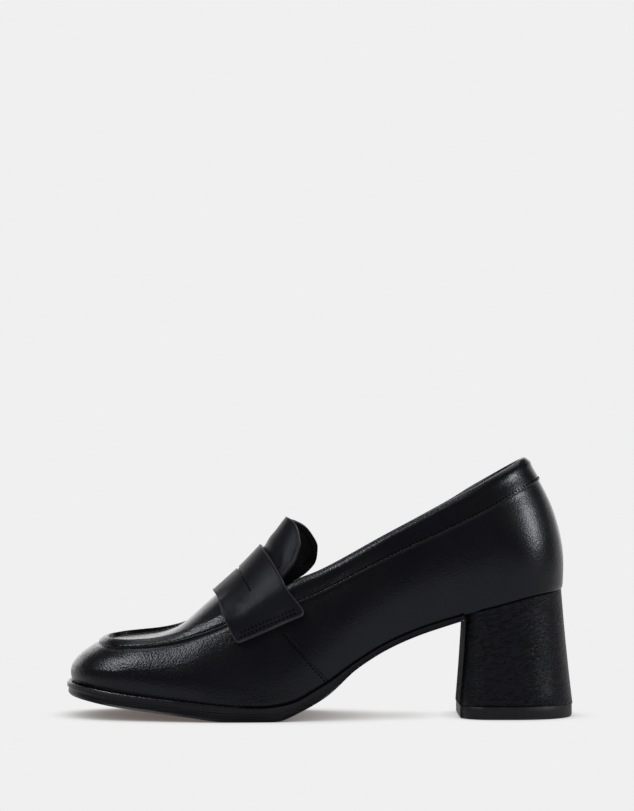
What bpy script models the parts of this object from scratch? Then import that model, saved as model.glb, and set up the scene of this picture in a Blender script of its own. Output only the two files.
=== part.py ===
"""Heeled penny loafer for the left foot, built as separate pieces.

The toe points to -X, the outer (lateral) side of the foot faces -Y and +Z is up.
Sizes are in millimetres and become metres when a mesh is made.
"""

import math
from collections import namedtuple

import bmesh
import bpy
import numpy as np

MM = 0.001
GAP = 0.3
SMOOTH_ANGLE = 40.0

# Leather and board thicknesses
WALL = 1.8
STRAP_THICKNESS = 2.0
TONGUE_THICKNESS = 2.0
INSOLE_THICKNESS = 2.5
INSOLE_MARGIN = 0.9

# Length of the last at its feather line, at its top line and along its spine
TOE_ARC_X = -78.0
HEEL_ARC_X = 86.0
FOOT_TOE_X = -118.0
FOOT_HEEL_X = 114.7
TOP_TOE_X = -106.0
TOP_HEEL_ARC_X = 68.0
TOP_HEEL_X = 97.4
SPINE_TOE_X = -92.0
SPINE_HEEL_X = 88.0
TOE_SQUARENESS = 2.6
HEEL_SQUARENESS = 2.2

# Stations round the last
TOE_STATIONS = 12
SIDE_STATIONS = 30
HEEL_STATIONS = 11

# Rows up the wall to the collar band, and across the apron from its rim to its middle
WALL_SHARES = (0.0, 0.1, 0.25, 0.42, 0.6, 0.8)
BAND_FIRST_ROW = len(WALL_SHARES) + 1
WALL_ROWS = len(WALL_SHARES) + 4
APRON_SHARES = (0.25, 0.5, 0.75, 1.0)

# Raised rim of the apron and band of the collar
RIM_HEIGHT = 2.0
RIM_UNDER_STRAP = 0.3
RIM_SINK_START_X = -46.0
RIM_SINK_END_X = -36.0
BAND_DEPTH = 10.0
BAND_STEP = 0.6
BAND_EDGE = 0.5
BAND_START_X = -24.0
BAND_FULL_X = -14.0

# Throat, under the strap
THROAT_X = -34.0

# Saddle strap; its reach runs from 0 on the ridge of the instep, past the top line, to 1 at its end
STRAP_TOP_SHARE = 0.75
STRAP_DRAPE_RISE = (0.4, 0.58)
STRAP_DRAPE_FALL = (0.74, 0.84)
STRAP_SETTLE = (0.76, 0.9)
STRAP_REACHES = (1.0, 0.993, 0.982, 0.968, 0.94, 0.88, 0.81, 0.75, 0.69, 0.62, 0.52, 0.42, 0.32, 0.21, 0.1)
STRAP_CLEARANCE = 1.1
STRAP_END_CLEARANCE = 0.4
STRAP_LOW_FRONT = (-37.6, 35.6)
STRAP_LOW_REAR = (-7.0, 48.8)
STRAP_CORNER = 1.8

# Slit across the strap, in shares of the strap's width and reach
SLIT_MIDDLE = 0.52
SLIT_WIDTH = 0.06
SLIT_END_WIDTH = 0.015
SLIT_REACH = 0.62

# Tongue
TONGUE_SETBACK = 0.9
TONGUE_COLUMNS = 12
TONGUE_LENGTHS = (0.0, 0.14, 0.28, 0.42, 0.56, 0.68, 0.78, 0.86, 0.92, 0.97, 1.0)
TONGUE_SWING = 11.2
TONGUE_SWING_X = -18.0
TONGUE_MEDIAL_CUT = 1.0
TONGUE_LIFT = 1.5
TONGUE_LIFT_START = 0.4
TONGUE_LIFT_FULL = 3.2

# Sole and heel
WELT_FORE = 2.4
WELT_WAIST = 0.3
SOLE_END_X = 67.2
PLAIN_EDGE = 0.4
BLOCK_TOP_FRONT_X = 68.2
BLOCK_BOTTOM_FRONT_X = 65.0
BLOCK_BOTTOM_BACK_X = 119.6
BLOCK_BOTTOM_LATERAL = -28.8
BLOCK_BOTTOM_MEDIAL = 28.3
BLOCK_TOP_CORNER = 8.0
BLOCK_BOTTOM_CORNER = 13.0
BLOCK_CORNER_STEPS = 5
BLOCK_SIDE_STEPS = 4
BLOCK_BACK_STEPS = 11
BLOCK_RINGS = (0.0, 0.12, 0.4, 0.7, 1.0)
BLOCK_HOLLOW = 0.25
LIFT_HEIGHT = 6.1
LIFT_EDGE = 0.8

Foot = namedtuple("Foot", "x centre lateral medial height lean bulge")
Top = namedtuple("Top", "x centre lateral medial height medial_rise")
Spine = namedtuple("Spine", "x height flatness")
Lean = namedtuple("Lean", "x top_x")
Sole = namedtuple("Sole", "x bottom welt ridge")
EdgeRow = namedtuple("EdgeRow", "out drop")
RimRow = namedtuple("RimRow", "inset rise")
StrapRow = namedtuple("StrapRow", "x front rear corner")
TongueRow = namedtuple("TongueRow", "x edge")
TongueEnd = namedtuple("TongueEnd", "x end")
Station = namedtuple("Station", "foot_x foot_fill top_x top_fill spine_x")

# Feather line: plan outline, height, and how the wall above it leans in and swells
FEET = (
    Foot(-118.0, 6.0, -31.0, 37.0, 17.0, 2.3, 1.6),
    Foot(-94.0, 5.0, -32.5, 38.0, 12.6, 2.1, 2.2),
    Foot(-64.0, 4.0, -38.5, 38.5, 9.3, 1.7, 2.2),
    Foot(-45.0, 3.0, -40.5, 38.0, 7.6, 1.4, 1.5),
    Foot(-28.0, 1.5, -39.8, 35.0, 6.7, 1.35, 1.5),
    Foot(-16.0, 1.0, -38.0, 31.5, 8.0, 1.45, 2.0),
    Foot(2.5, 0.0, -34.5, 27.0, 17.4, 1.6, 3.0),
    Foot(16.0, 0.0, -32.0, 24.5, 27.0, 1.7, 4.0),
    Foot(31.0, 0.0, -29.8, 23.5, 36.0, 1.8, 3.9),
    Foot(46.0, 0.0, -28.3, 24.0, 42.5, 1.9, 3.7),
    Foot(61.0, 0.0, -27.6, 25.2, 47.3, 2.0, 3.6),
    Foot(85.0, 0.0, -27.3, 26.5, 53.6, 2.0, 3.2),
    Foot(99.0, 0.0, -27.2, 26.6, 57.4, 2.0, 3.0),
    Foot(114.7, 0.0, -27.0, 26.5, 60.5, 2.0, 2.3),
)

# Outer seam of the apron's rim as far as the strap, and the top line behind it
TOPS = (
    Top(-106.0, 6.0, -25.0, 33.0, 34.5, 0.8),
    Top(-93.0, 5.0, -27.0, 33.2, 33.0, 4.5),
    Top(-80.0, 4.5, -28.6, 33.3, 33.8, 4.4),
    Top(-66.5, 4.0, -29.8, 32.5, 36.0, 3.2),
    Top(-55.0, 3.5, -30.8, 31.0, 39.5, 2.0),
    Top(-44.0, 3.0, -31.2, 29.5, 43.6, 1.2),
    Top(-30.0, 2.0, -29.8, 27.0, 52.4, 0.4),
    Top(-17.0, 1.0, -28.0, 25.2, 61.4, -0.6),
    Top(1.0, 0.0, -27.0, 25.0, 69.5, -1.4),
    Top(31.0, 0.0, -26.5, 24.5, 85.8, -1.4),
    Top(61.0, 0.0, -25.0, 24.0, 101.5, -1.0),
    Top(76.0, 0.0, -23.8, 23.4, 109.7, -0.1),
    Top(97.4, 0.0, -22.0, 22.0, 122.0, 0.0),
)

# Middle line of the apron and of the tongue that carries it on
SPINES = (
    Spine(-106.0, 35.0, 5.0),
    Spine(-92.0, 36.0, 5.0),
    Spine(-82.0, 37.2, 4.6),
    Spine(-73.0, 39.4, 4.0),
    Spine(-66.0, 42.8, 3.3),
    Spine(-60.0, 48.0, 2.7),
    Spine(-52.0, 55.2, 2.2),
    Spine(-44.0, 62.3, 2.0),
    Spine(-36.0, 69.6, 2.0),
    Spine(-28.0, 77.9, 2.0),
    Spine(-24.0, 82.2, 2.0),
    Spine(-20.0, 87.2, 2.0),
    Spine(-15.0, 93.6, 2.0),
    Spine(-8.0, 99.0, 2.0),
)

# Where the rib that starts at x on the feather line reaches the top line
LEANS = (
    Lean(-78.0, -78.0),
    Lean(-50.0, -50.0),
    Lean(0.0, 0.0),
    Lean(40.0, 34.0),
    Lean(86.0, 68.0),
)

# Underside of the outsole: height, how far it stands out past the upper, and share of the ridge
SOLES = (
    Sole(-120.0, 10.8, WELT_FORE, 1.0),
    Sole(-94.0, 6.0, WELT_FORE, 1.0),
    Sole(-64.0, 2.4, WELT_FORE, 1.0),
    Sole(-42.0, 0.0, WELT_FORE, 1.0),
    Sole(-21.0, 0.0, WELT_FORE, 1.0),
    Sole(-8.6, 4.6, 1.6, 0.8),
    Sole(4.2, 12.2, 0.8, 0.3),
    Sole(16.0, 23.0, WELT_WAIST, 0.0),
    Sole(31.0, 32.6, WELT_WAIST, 0.0),
    Sole(46.0, 39.2, WELT_WAIST, 0.0),
    Sole(61.0, 44.2, WELT_WAIST, 0.0),
    Sole(68.0, 46.4, WELT_WAIST, 0.0),
)

# Side of the outsole from its top edge to its underside
SOLE_EDGE = (
    EdgeRow(-0.8, 0.0),
    EdgeRow(0.0, 0.15),
    EdgeRow(0.0, 0.38),
    EdgeRow(-0.7, 0.48),
    EdgeRow(-0.5, 0.8),
    EdgeRow(-1.4, 1.0),
)

# Cross section of the rim, inwards from its outer seam
RIM = (
    RimRow(1.2, 0.45),
    RimRow(3.2, 0.85),
    RimRow(5.0, 1.0),
    RimRow(5.8, 0.0),
)

# Edges of the strap; x runs from 0 on the ridge of the instep to 1 at the strap's end
STRAP_ROWS = (
    StrapRow(0.0, -49.2, -26.6, 0.0),
    StrapRow(0.12, -49.0, -26.3, 0.0),
    StrapRow(0.4, -46.9, -23.6, 0.0),
    StrapRow(0.75, -43.2, -16.6, 0.0),
    StrapRow(0.94, -39.8, -9.0, 0.0),
    StrapRow(0.968, -39.2, -8.0, 0.05),
    StrapRow(0.982, -39.0, -7.5, 0.18),
    StrapRow(0.993, -38.7, -7.1, 0.5),
    StrapRow(1.0, -38.6, -6.8, 1.0),
)

# Side edge of the tongue, as a share of the way from the top line to the ridge; x is the share of its length
TONGUE_EDGES = (
    TongueRow(0.0, 0.12),
    TongueRow(0.6, 0.11),
    TongueRow(0.8, 0.12),
    TongueRow(0.92, 0.17),
    TongueRow(1.0, 0.29),
)

# Free end of the tongue; x runs from 0 at its side edge to 1 on the ridge
TONGUE_ENDS = (
    TongueEnd(0.0, -9.6),
    TongueEnd(0.3, -11.0),
    TongueEnd(0.6, -13.6),
    TongueEnd(0.85, -15.1),
    TongueEnd(1.0, -15.3),
)

LATERAL = -1
MEDIAL = 1

BLACK = (0.008, 0.008, 0.009)
LINING_BLACK = (0.02, 0.02, 0.021)
RUBBER_BLACK = (0.012, 0.012, 0.012)


def curve_through(rows, column):
    """Return a smooth function of x through one column of a table."""
    xs = np.array([row.x for row in rows])
    ys = np.array([getattr(row, column) for row in rows])
    slopes = np.diff(ys) / np.diff(xs)
    tangents = np.zeros(len(xs))
    tangents[0] = slopes[0]
    tangents[-1] = slopes[-1]
    for i in range(1, len(xs) - 1):
        before, after = slopes[i - 1], slopes[i]
        if before * after > 0.0:
            tangents[i] = 2.0 * before * after / (before + after)

    def value(x):
        x = min(max(x, xs[0]), xs[-1])
        i = min(int(np.searchsorted(xs, x, side="right")) - 1, len(xs) - 2)
        span = xs[i + 1] - xs[i]
        s = (x - xs[i]) / span
        rise = s * s * (3.0 - 2.0 * s)
        leave = s * (1.0 - s) ** 2 * span * tangents[i]
        arrive = s * s * (s - 1.0) * span * tangents[i + 1]
        return ys[i] + (ys[i + 1] - ys[i]) * rise + leave + arrive

    return value


FOOT_AT = {column: curve_through(FEET, column) for column in Foot._fields[1:]}
TOP_AT = {column: curve_through(TOPS, column) for column in Top._fields[1:]}
SPINE_AT = {column: curve_through(SPINES, column) for column in Spine._fields[1:]}
SOLE_AT = {column: curve_through(SOLES, column) for column in Sole._fields[1:]}
STRAP_AT = {column: curve_through(STRAP_ROWS, column) for column in StrapRow._fields[1:]}
TOP_X_AT = curve_through(LEANS, "top_x")
TONGUE_EDGE_AT = curve_through(TONGUE_EDGES, "edge")
TONGUE_END_AT = curve_through(TONGUE_ENDS, "end")


def smooth_step(x, start, end):
    """Rise smoothly from 0 at start to 1 at end."""
    s = min(max((x - start) / (end - start), 0.0), 1.0)
    return s * s * (3.0 - 2.0 * s)


def blend(start, end, share):
    return start + (end - start) * share


def end_arc(angle, squareness):
    """Give the length and width shares of a rounded end, from its tip at 0 to its side at a right angle."""
    length = max(math.cos(angle), 0.0) ** (2.0 / squareness)
    width = max(math.sin(angle), 0.0) ** (2.0 / squareness)
    return length, width


def side_station(x):
    """Give the station of a rib on the side of the last."""
    return Station(x, 1.0, TOP_X_AT(x), 1.0, x)


def toe_station(angle):
    length, width = end_arc(angle, TOE_SQUARENESS)
    foot_x = blend(TOE_ARC_X, FOOT_TOE_X, length)
    top_x = blend(TOE_ARC_X, TOP_TOE_X, length)
    spine_x = blend(TOE_ARC_X, SPINE_TOE_X, length)
    return Station(foot_x, width, top_x, width, spine_x)


def heel_station(angle):
    length, width = end_arc(angle, HEEL_SQUARENESS)
    foot_x = blend(HEEL_ARC_X, FOOT_HEEL_X, length)
    top_x = blend(TOP_HEEL_ARC_X, TOP_HEEL_X, length)
    return Station(foot_x, width, top_x, width, SPINE_HEEL_X)


def last_stations():
    """List the stations of one side from the toe's middle to the heel's middle."""
    quarter = math.pi / 2.0
    toe = [toe_station(quarter * i / TOE_STATIONS) for i in range(TOE_STATIONS)]
    sides = np.linspace(TOE_ARC_X, HEEL_ARC_X, SIDE_STATIONS + 1)
    middle = [side_station(float(x)) for x in sides]
    heel = [heel_station(quarter * (1.0 - i / HEEL_STATIONS)) for i in range(1, HEEL_STATIONS + 1)]
    return toe + middle + heel


def foot_point(side, station, out=0.0):
    """Give a point of the feather line, or one that stands out past it."""
    centre = FOOT_AT["centre"](station.foot_x)
    edge = FOOT_AT["lateral" if side == LATERAL else "medial"](station.foot_x)
    y = blend(centre, edge, station.foot_fill)
    point = np.array([station.foot_x, y, FOOT_AT["height"](station.foot_x)])
    return point + outward(side, station) * out


def outward(side, station):
    """Give the level direction out of the last at a station."""
    fill = station.foot_fill
    along = 0.0
    if station.foot_x < TOE_ARC_X:
        along = -((1.0 - fill ** TOE_SQUARENESS) ** (1.0 - 1.0 / TOE_SQUARENESS))
        across = fill ** (TOE_SQUARENESS - 1.0)
    elif station.foot_x > HEEL_ARC_X:
        along = (1.0 - fill ** HEEL_SQUARENESS) ** (1.0 - 1.0 / HEEL_SQUARENESS)
        across = fill ** (HEEL_SQUARENESS - 1.0)
    else:
        across = 1.0
    direction = np.array([along, side * across, 0.0])
    return direction / np.linalg.norm(direction)


def top_point(side, station):
    """Give a point of the rim's outer seam or of the top line."""
    centre = TOP_AT["centre"](station.top_x)
    edge = TOP_AT["lateral" if side == LATERAL else "medial"](station.top_x)
    y = blend(centre, edge, station.top_fill)
    z = TOP_AT["height"](station.top_x)
    if side == MEDIAL:
        z += TOP_AT["medial_rise"](station.top_x) * station.top_fill
    return np.array([station.top_x, y, z])


def spine_point(station):
    return np.array([
        station.spine_x,
        TOP_AT["centre"](station.spine_x),
        SPINE_AT["height"](station.spine_x),
    ])


def wall_point(side, station, rise):
    """Give a point of the side wall; rise runs from 0 at the feather line to 1 at the top line."""
    foot = foot_point(side, station)
    top = top_point(side, station)
    lean = FOOT_AT["lean"](station.foot_x)
    swell = FOOT_AT["bulge"](station.foot_x) * 4.0 * rise * (1.0 - rise)
    point = foot + (top - foot) * rise ** lean + outward(side, station) * swell
    point[2] = blend(foot[2], top[2], rise)
    return point


def apron_point(side, station, reach):
    """Give a point of the apron; reach runs from 0 at the rim's outer seam to 1 on the ridge."""
    top = top_point(side, station)
    spine = spine_point(station)
    point = blend(top, spine, reach)
    crown = 1.0 - (1.0 - reach) ** SPINE_AT["flatness"](station.spine_x)
    point[2] = blend(top[2], spine[2], crown)
    return point


def rim_share(x):
    """Give the share of the rim's full height, which sinks under the strap."""
    return blend(1.0, RIM_UNDER_STRAP, smooth_step(x, RIM_SINK_START_X, RIM_SINK_END_X))


def rim_drape(x, reach):
    """Give how far the strap swells where it passes over the rim."""
    over = smooth_step(reach, *STRAP_DRAPE_RISE) - smooth_step(reach, *STRAP_DRAPE_FALL)
    return RIM_HEIGHT * over * (rim_share(x) - RIM_UNDER_STRAP)


def band_rises(station, side):
    """List the rises of the wall's rows, close together at the lower edge of the collar band."""
    depth = top_point(side, station)[2] - foot_point(side, station)[2]
    seam = 1.0 - BAND_DEPTH / depth
    edge = BAND_EDGE / depth
    lower = [seam * share for share in WALL_SHARES]
    return lower + [seam - edge, seam + edge, blend(seam, 1.0, 0.5), 1.0]


def band_lift(x):
    """Give how far the collar band stands out of the wall."""
    return BAND_STEP * smooth_step(x, BAND_START_X, BAND_FULL_X)


def apron_rows(side, station):
    """List the reach and the lift of the apron's rows, from the rim inwards."""
    length = np.linalg.norm((spine_point(station) - top_point(side, station))[:2])
    height = RIM_HEIGHT * rim_share(station.top_x)
    rows = [(row.inset / length, row.rise * height) for row in RIM]
    foot = RIM[-1].inset / length
    rows += [(blend(foot, 1.0, share), 0.0) for share in APRON_SHARES]
    return rows


def solid_object(name, points, faces, collection, material):
    """Make one closed, outward facing, smooth shaded object."""
    mesh = bpy.data.meshes.new(name)
    mesh.from_pydata([tuple(point * MM) for point in points], [], faces)
    work = bmesh.new()
    work.from_mesh(mesh)
    bmesh.ops.recalc_face_normals(work, faces=work.faces)
    work.to_mesh(mesh)
    work.free()
    mesh.shade_smooth()
    mesh.set_sharp_from_angle(angle=math.radians(SMOOTH_ANGLE))
    mesh.materials.append(material)
    piece = bpy.data.objects.new(name, mesh)
    collection.objects.link(piece)
    return piece


def surface_normals(points, faces):
    """Give the outward normals of an open surface's points, and its faces turned outwards."""
    work = bmesh.new()
    corners = [work.verts.new(point) for point in points]
    for face in faces:
        work.faces.new([corners[i] for i in face])
    bmesh.ops.recalc_face_normals(work, faces=work.faces)
    work.normal_update()
    work.verts.index_update()
    middle = np.mean(points, axis=0)
    facing = sum(np.dot(face.normal, np.array(face.calc_center_median()) - middle) for face in work.faces)
    turn = 1.0 if facing > 0.0 else -1.0
    normals = np.array([turn * np.array(corner.normal) for corner in corners])
    turned = [tuple(corner.index for corner in face.verts) for face in work.faces]
    if turn < 0.0:
        turned = [face[::-1] for face in turned]
    work.free()
    return normals, turned


def border_edges(faces):
    """List the edges that only one face uses."""
    used = {}
    for face in faces:
        for start, end in zip(face, face[1:] + face[:1]):
            used.setdefault(frozenset((start, end)), []).append((start, end))
    return [ends[0] for ends in used.values() if len(ends) == 1]


def shell(points, faces, lows, highs, level_rows=()):
    """Thicken an open surface between two heights over it, and close its borders.

    The points listed in level_rows keep their height, so that a border stays on its own plane.
    """
    points = np.array(points)
    normals, faces = surface_normals(points, faces)
    for i in level_rows:
        flat = normals[i] * (1.0, 1.0, 0.0)
        normals[i] = flat / np.linalg.norm(flat)
    inner = points + normals * np.array(lows)[:, None]
    outer = points + normals * np.array(highs)[:, None]
    count = len(points)
    skins = [tuple(i + count for i in face) for face in faces]
    skins += [face[::-1] for face in faces]
    skins += [(end + count, start + count, start, end) for start, end in border_edges(faces)]
    return np.vstack((inner, outer)), skins


def upper_surface():
    """Lay out the upper's outer surface: walls all round, and the apron as far as the throat."""
    stations = last_stations()
    last = len(stations) - 1
    throat = min(i for i, station in enumerate(stations) if station.foot_x > THROAT_X) - 1
    centre_row = WALL_ROWS + len(RIM) + len(APRON_SHARES) - 1
    places, points, lifts, base = {}, [], [], []

    def place(side, i, row):
        shared = i in (0, last) or row == centre_row
        return (0 if shared else side, i, row)

    def put(side, i, row, point, lift):
        key = place(side, i, row)
        if key not in places:
            places[key] = len(points)
            points.append(point)
            lifts.append(lift)
            if row == 0:
                base.append(places[key])

    for side in (LATERAL, MEDIAL):
        for i, station in enumerate(stations):
            for row, rise in enumerate(band_rises(station, side)):
                lift = band_lift(station.top_x) if row >= BAND_FIRST_ROW else 0.0
                put(side, i, row, wall_point(side, station, rise), lift)
            if i > throat:
                continue
            for step, (reach, lift) in enumerate(apron_rows(side, station)):
                put(side, i, WALL_ROWS + step, apron_point(side, station, reach), lift)

    faces = []
    for side in (LATERAL, MEDIAL):
        for i in range(last):
            rows = centre_row if i < throat else WALL_ROWS - 1
            for row in range(rows):
                corners = ((i, row), (i + 1, row), (i + 1, row + 1), (i, row + 1))
                faces.append(tuple(places[place(side, *corner)] for corner in corners))
    return points, faces, lifts, base


def make_upper(collection, material):
    points, faces, lifts, base = upper_surface()
    lows = [-WALL] * len(points)
    points, faces = shell(points, faces, lows, lifts, base)
    return solid_object("upper", points, faces, collection, material)


def instep_point(side, x, reach):
    """Give a point over the instep; reach is over 1 on the wall and falls to 0 on the ridge."""
    station = side_station(x)
    if reach <= STRAP_TOP_SHARE:
        return apron_point(side, station, 1.0 - reach / STRAP_TOP_SHARE)
    low = blend(STRAP_LOW_FRONT[1], STRAP_LOW_REAR[1],
                (x - STRAP_LOW_FRONT[0]) / (STRAP_LOW_REAR[0] - STRAP_LOW_FRONT[0]))
    foot = foot_point(side, station)[2]
    top = top_point(side, station)[2]
    drop = (top - low) / (top - foot)
    return wall_point(side, station, 1.0 - drop * (reach - STRAP_TOP_SHARE) / (1.0 - STRAP_TOP_SHARE))


def grid_faces(columns, rows, skip=lambda column, row: False):
    """List the faces of a grid whose points run row by row."""
    faces = []
    for row in range(rows - 1):
        for column in range(columns - 1):
            if not skip(column, row):
                start = row * columns + column
                faces.append((start, start + 1, start + columns + 1, start + columns))
    return faces


def make_saddle_strap(collection, material):
    """Wrap the strap over the instep, with a narrow slit across its middle."""
    front_shares = (0.0, 0.08, 0.22, 0.36)
    rear_shares = (0.66, 0.8, 0.92, 1.0)
    slit_column = len(front_shares)
    columns = len(front_shares) + 2 + len(rear_shares)
    rows = [(LATERAL, reach) for reach in STRAP_REACHES] + [(LATERAL, 0.0)]
    rows += [(MEDIAL, reach) for reach in reversed(STRAP_REACHES)]
    points, clearances = [], []
    for side, reach in rows:
        inset = STRAP_CORNER * STRAP_AT["corner"](reach)
        front = STRAP_AT["front"](reach) + inset
        rear = STRAP_AT["rear"](reach) - inset
        clearance = blend(STRAP_CLEARANCE, STRAP_END_CLEARANCE, smooth_step(reach, *STRAP_SETTLE))
        half_slit = blend(SLIT_WIDTH, SLIT_END_WIDTH, min(reach / SLIT_REACH, 1.0) ** 2) / 2.0
        lips = (SLIT_MIDDLE - half_slit, SLIT_MIDDLE + half_slit)
        for share in front_shares + lips + rear_shares:
            x = blend(front, rear, share)
            points.append(instep_point(side, x, reach))
            clearances.append(clearance + rim_drape(x, reach) + band_lift(x))

    def in_slit(column, row):
        reached = max(rows[row][1], rows[row + 1][1])
        return column == slit_column and reached <= SLIT_REACH

    faces = grid_faces(columns, len(rows), in_slit)
    highs = [clearance + STRAP_THICKNESS for clearance in clearances]
    points, faces = shell(points, faces, clearances, highs)
    return solid_object("saddle_strap", points, faces, collection, material)


def make_tongue(collection, material):
    """Carry the apron's surface on behind the throat as a rounded tab."""
    spans = np.linspace(0.0, 1.0, TONGUE_COLUMNS)
    columns = [(LATERAL, float(span)) for span in spans[:-1]]
    columns += [(MEDIAL, float(span)) for span in reversed(spans)]
    start = THROAT_X + TONGUE_SETBACK
    points, lifts = [], []
    for length in TONGUE_LENGTHS:
        edge = TONGUE_EDGE_AT(length)
        for side, span in columns:
            reach = blend(edge, 1.0, span)
            end = TONGUE_END_AT(span)
            if side == MEDIAL:
                end -= TONGUE_MEDIAL_CUT * 4.0 * span * (1.0 - span)
            x = blend(start, end, length)
            point = apron_point(side, side_station(x), reach)
            if side == MEDIAL:
                point[0] += TONGUE_SWING * smooth_step(x, THROAT_X, TONGUE_SWING_X) * (1.0 - reach)
            points.append(point)
            behind = x - STRAP_AT["rear"](STRAP_TOP_SHARE * (1.0 - reach))
            lifts.append(TONGUE_LIFT * smooth_step(behind, TONGUE_LIFT_START, TONGUE_LIFT_FULL))
    faces = grid_faces(len(columns), len(TONGUE_LENGTHS))
    lows = [lift - TONGUE_THICKNESS for lift in lifts]
    points, faces = shell(points, faces, lows, lifts)
    return solid_object("tongue", points, faces, collection, material)


def layered_solid(rings):
    """Close a stack of rings whose lateral and medial points pair off across the piece.

    Each ring is a list of (lateral point, medial point) pairs. A pair at one same point closes an end.
    """
    points, indices = [], []
    for ring in rings:
        indices.append([])
        for lateral, medial in ring:
            points.append(lateral)
            first = len(points) - 1
            if np.allclose(lateral, medial):
                indices[-1].append((first, first))
            else:
                points.append(medial)
                indices[-1].append((first, first + 1))
    faces = []

    def add(*corners):
        face = tuple(dict.fromkeys(corners))
        if len(face) > 2:
            faces.append(face)

    steps = len(rings[0]) - 1
    for upper_ring, lower_ring in zip(indices, indices[1:]):
        for i in range(steps):
            add(upper_ring[i][0], upper_ring[i + 1][0], lower_ring[i + 1][0], lower_ring[i][0])
            add(upper_ring[i + 1][1], upper_ring[i][1], lower_ring[i][1], lower_ring[i + 1][1])
        for i in (0, steps):
            add(upper_ring[i][0], upper_ring[i][1], lower_ring[i][1], lower_ring[i][0])
    for ring in (indices[0], indices[-1]):
        for i in range(steps):
            add(ring[i][0], ring[i + 1][0], ring[i + 1][1], ring[i][1])
    return points, faces


def bottom_stations(end_x):
    """List the stations from the toe's middle to a straight cut across the sole."""
    stations = [station for station in last_stations() if station.foot_x < end_x - 1.0]
    return stations + [side_station(end_x)]


def make_outsole(collection, material):
    """Stack the rings of the sole's side, with a ridge at its top edge."""
    stations = bottom_stations(SOLE_END_X)
    rings = []
    for edge in SOLE_EDGE:
        ring = []
        for station in stations:
            top = FOOT_AT["height"](station.foot_x) - GAP
            bottom = SOLE_AT["bottom"](station.foot_x)
            out = SOLE_AT["welt"](station.foot_x)
            out += edge.out * blend(PLAIN_EDGE, 1.0, SOLE_AT["ridge"](station.foot_x))
            pair = []
            for side in (LATERAL, MEDIAL):
                point = foot_point(side, station, out)
                point[2] = blend(top, bottom, edge.drop)
                pair.append(point)
            ring.append(pair)
        rings.append(ring)
    points, faces = layered_solid(rings)
    return solid_object("outsole", points, faces, collection, material)


def make_insole(collection, material):
    """Lay the insole on the sole and the heel seat, inside the walls."""
    inset = WALL + INSOLE_MARGIN
    rings = []
    for height in (GAP + INSOLE_THICKNESS, GAP):
        ring = []
        for station in last_stations():
            pair = [foot_point(side, station, -inset) for side in (LATERAL, MEDIAL)]
            for point in pair:
                point[2] += height
            ring.append(pair)
        rings.append(ring)
    points, faces = layered_solid(rings)
    return solid_object("insole", points, faces, collection, material)


def block_outline(front_x, back_x, lateral, medial, corner, inset=0.0):
    """Give the heel's outline from its breast to its back, as (lateral, medial) points with no height."""
    front_x += inset
    back_x -= inset
    arc_x = back_x - (FOOT_HEEL_X - HEEL_ARC_X)
    lateral += inset
    medial -= inset
    pairs = []
    for i in range(BLOCK_CORNER_STEPS + 1):
        angle = math.pi / 2.0 * i / BLOCK_CORNER_STEPS
        x = front_x + corner * (1.0 - math.cos(angle))
        cut = corner * (1.0 - math.sin(angle))
        pairs.append((np.array([x, lateral + cut, 0.0]), np.array([x, medial - cut, 0.0])))
    for i in range(1, BLOCK_SIDE_STEPS + 1):
        x = blend(front_x + corner, arc_x, i / BLOCK_SIDE_STEPS)
        pairs.append((np.array([x, lateral, 0.0]), np.array([x, medial, 0.0])))
    for i in range(1, BLOCK_BACK_STEPS + 1):
        angle = math.pi / 2.0 * (1.0 - i / BLOCK_BACK_STEPS)
        length, width = end_arc(angle, HEEL_SQUARENESS)
        x = blend(arc_x, back_x, length)
        pairs.append((np.array([x, lateral * width, 0.0]), np.array([x, medial * width, 0.0])))
    return pairs


def bottom_block_outline(inset=0.0):
    return block_outline(BLOCK_BOTTOM_FRONT_X, BLOCK_BOTTOM_BACK_X,
                         BLOCK_BOTTOM_LATERAL, BLOCK_BOTTOM_MEDIAL, BLOCK_BOTTOM_CORNER, inset)


def make_heel_block(collection, material):
    """Loft the block from the seat under the upper down to the top lift."""
    seat_x = (BLOCK_TOP_FRONT_X + FOOT_HEEL_X) / 2.0
    top = block_outline(BLOCK_TOP_FRONT_X, FOOT_HEEL_X - GAP,
                        FOOT_AT["lateral"](seat_x) + GAP, FOOT_AT["medial"](seat_x) - GAP, BLOCK_TOP_CORNER)
    bottom = bottom_block_outline()
    rings = []
    for share in BLOCK_RINGS:
        flare = blend(share, share * share, BLOCK_HOLLOW)
        ring = []
        for top_pair, bottom_pair in zip(top, bottom):
            pair = []
            for above, below in zip(top_pair, bottom_pair):
                point = blend(above, below, flare)
                seat = FOOT_AT["height"](above[0]) - GAP
                point[2] = blend(seat, LIFT_HEIGHT + GAP, share)
                pair.append(point)
            ring.append(pair)
        rings.append(ring)
    points, faces = layered_solid(rings)
    return solid_object("heel_block", points, faces, collection, material)


def make_top_lift(collection, material):
    """Stack the wearing layer under the heel, with a small round at the floor."""
    rings = []
    for height, inset in ((LIFT_HEIGHT, GAP), (LIFT_EDGE, GAP), (0.0, GAP + LIFT_EDGE)):
        ring = bottom_block_outline(inset)
        for pair in ring:
            for point in pair:
                point[2] = height
        rings.append(ring)
    points, faces = layered_solid(rings)
    return solid_object("top_lift", points, faces, collection, material)


def leather(name, colour, roughness):
    """Make a plain leather or rubber material."""
    material = bpy.data.materials.new(name)
    material.use_nodes = True
    shader = material.node_tree.nodes["Principled BSDF"]
    shader.inputs["Base Color"].default_value = (*colour, 1.0)
    shader.inputs["Roughness"].default_value = roughness
    shader.inputs["Metallic"].default_value = 0.0
    material.diffuse_color = (*colour, 1.0)
    return material


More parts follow.
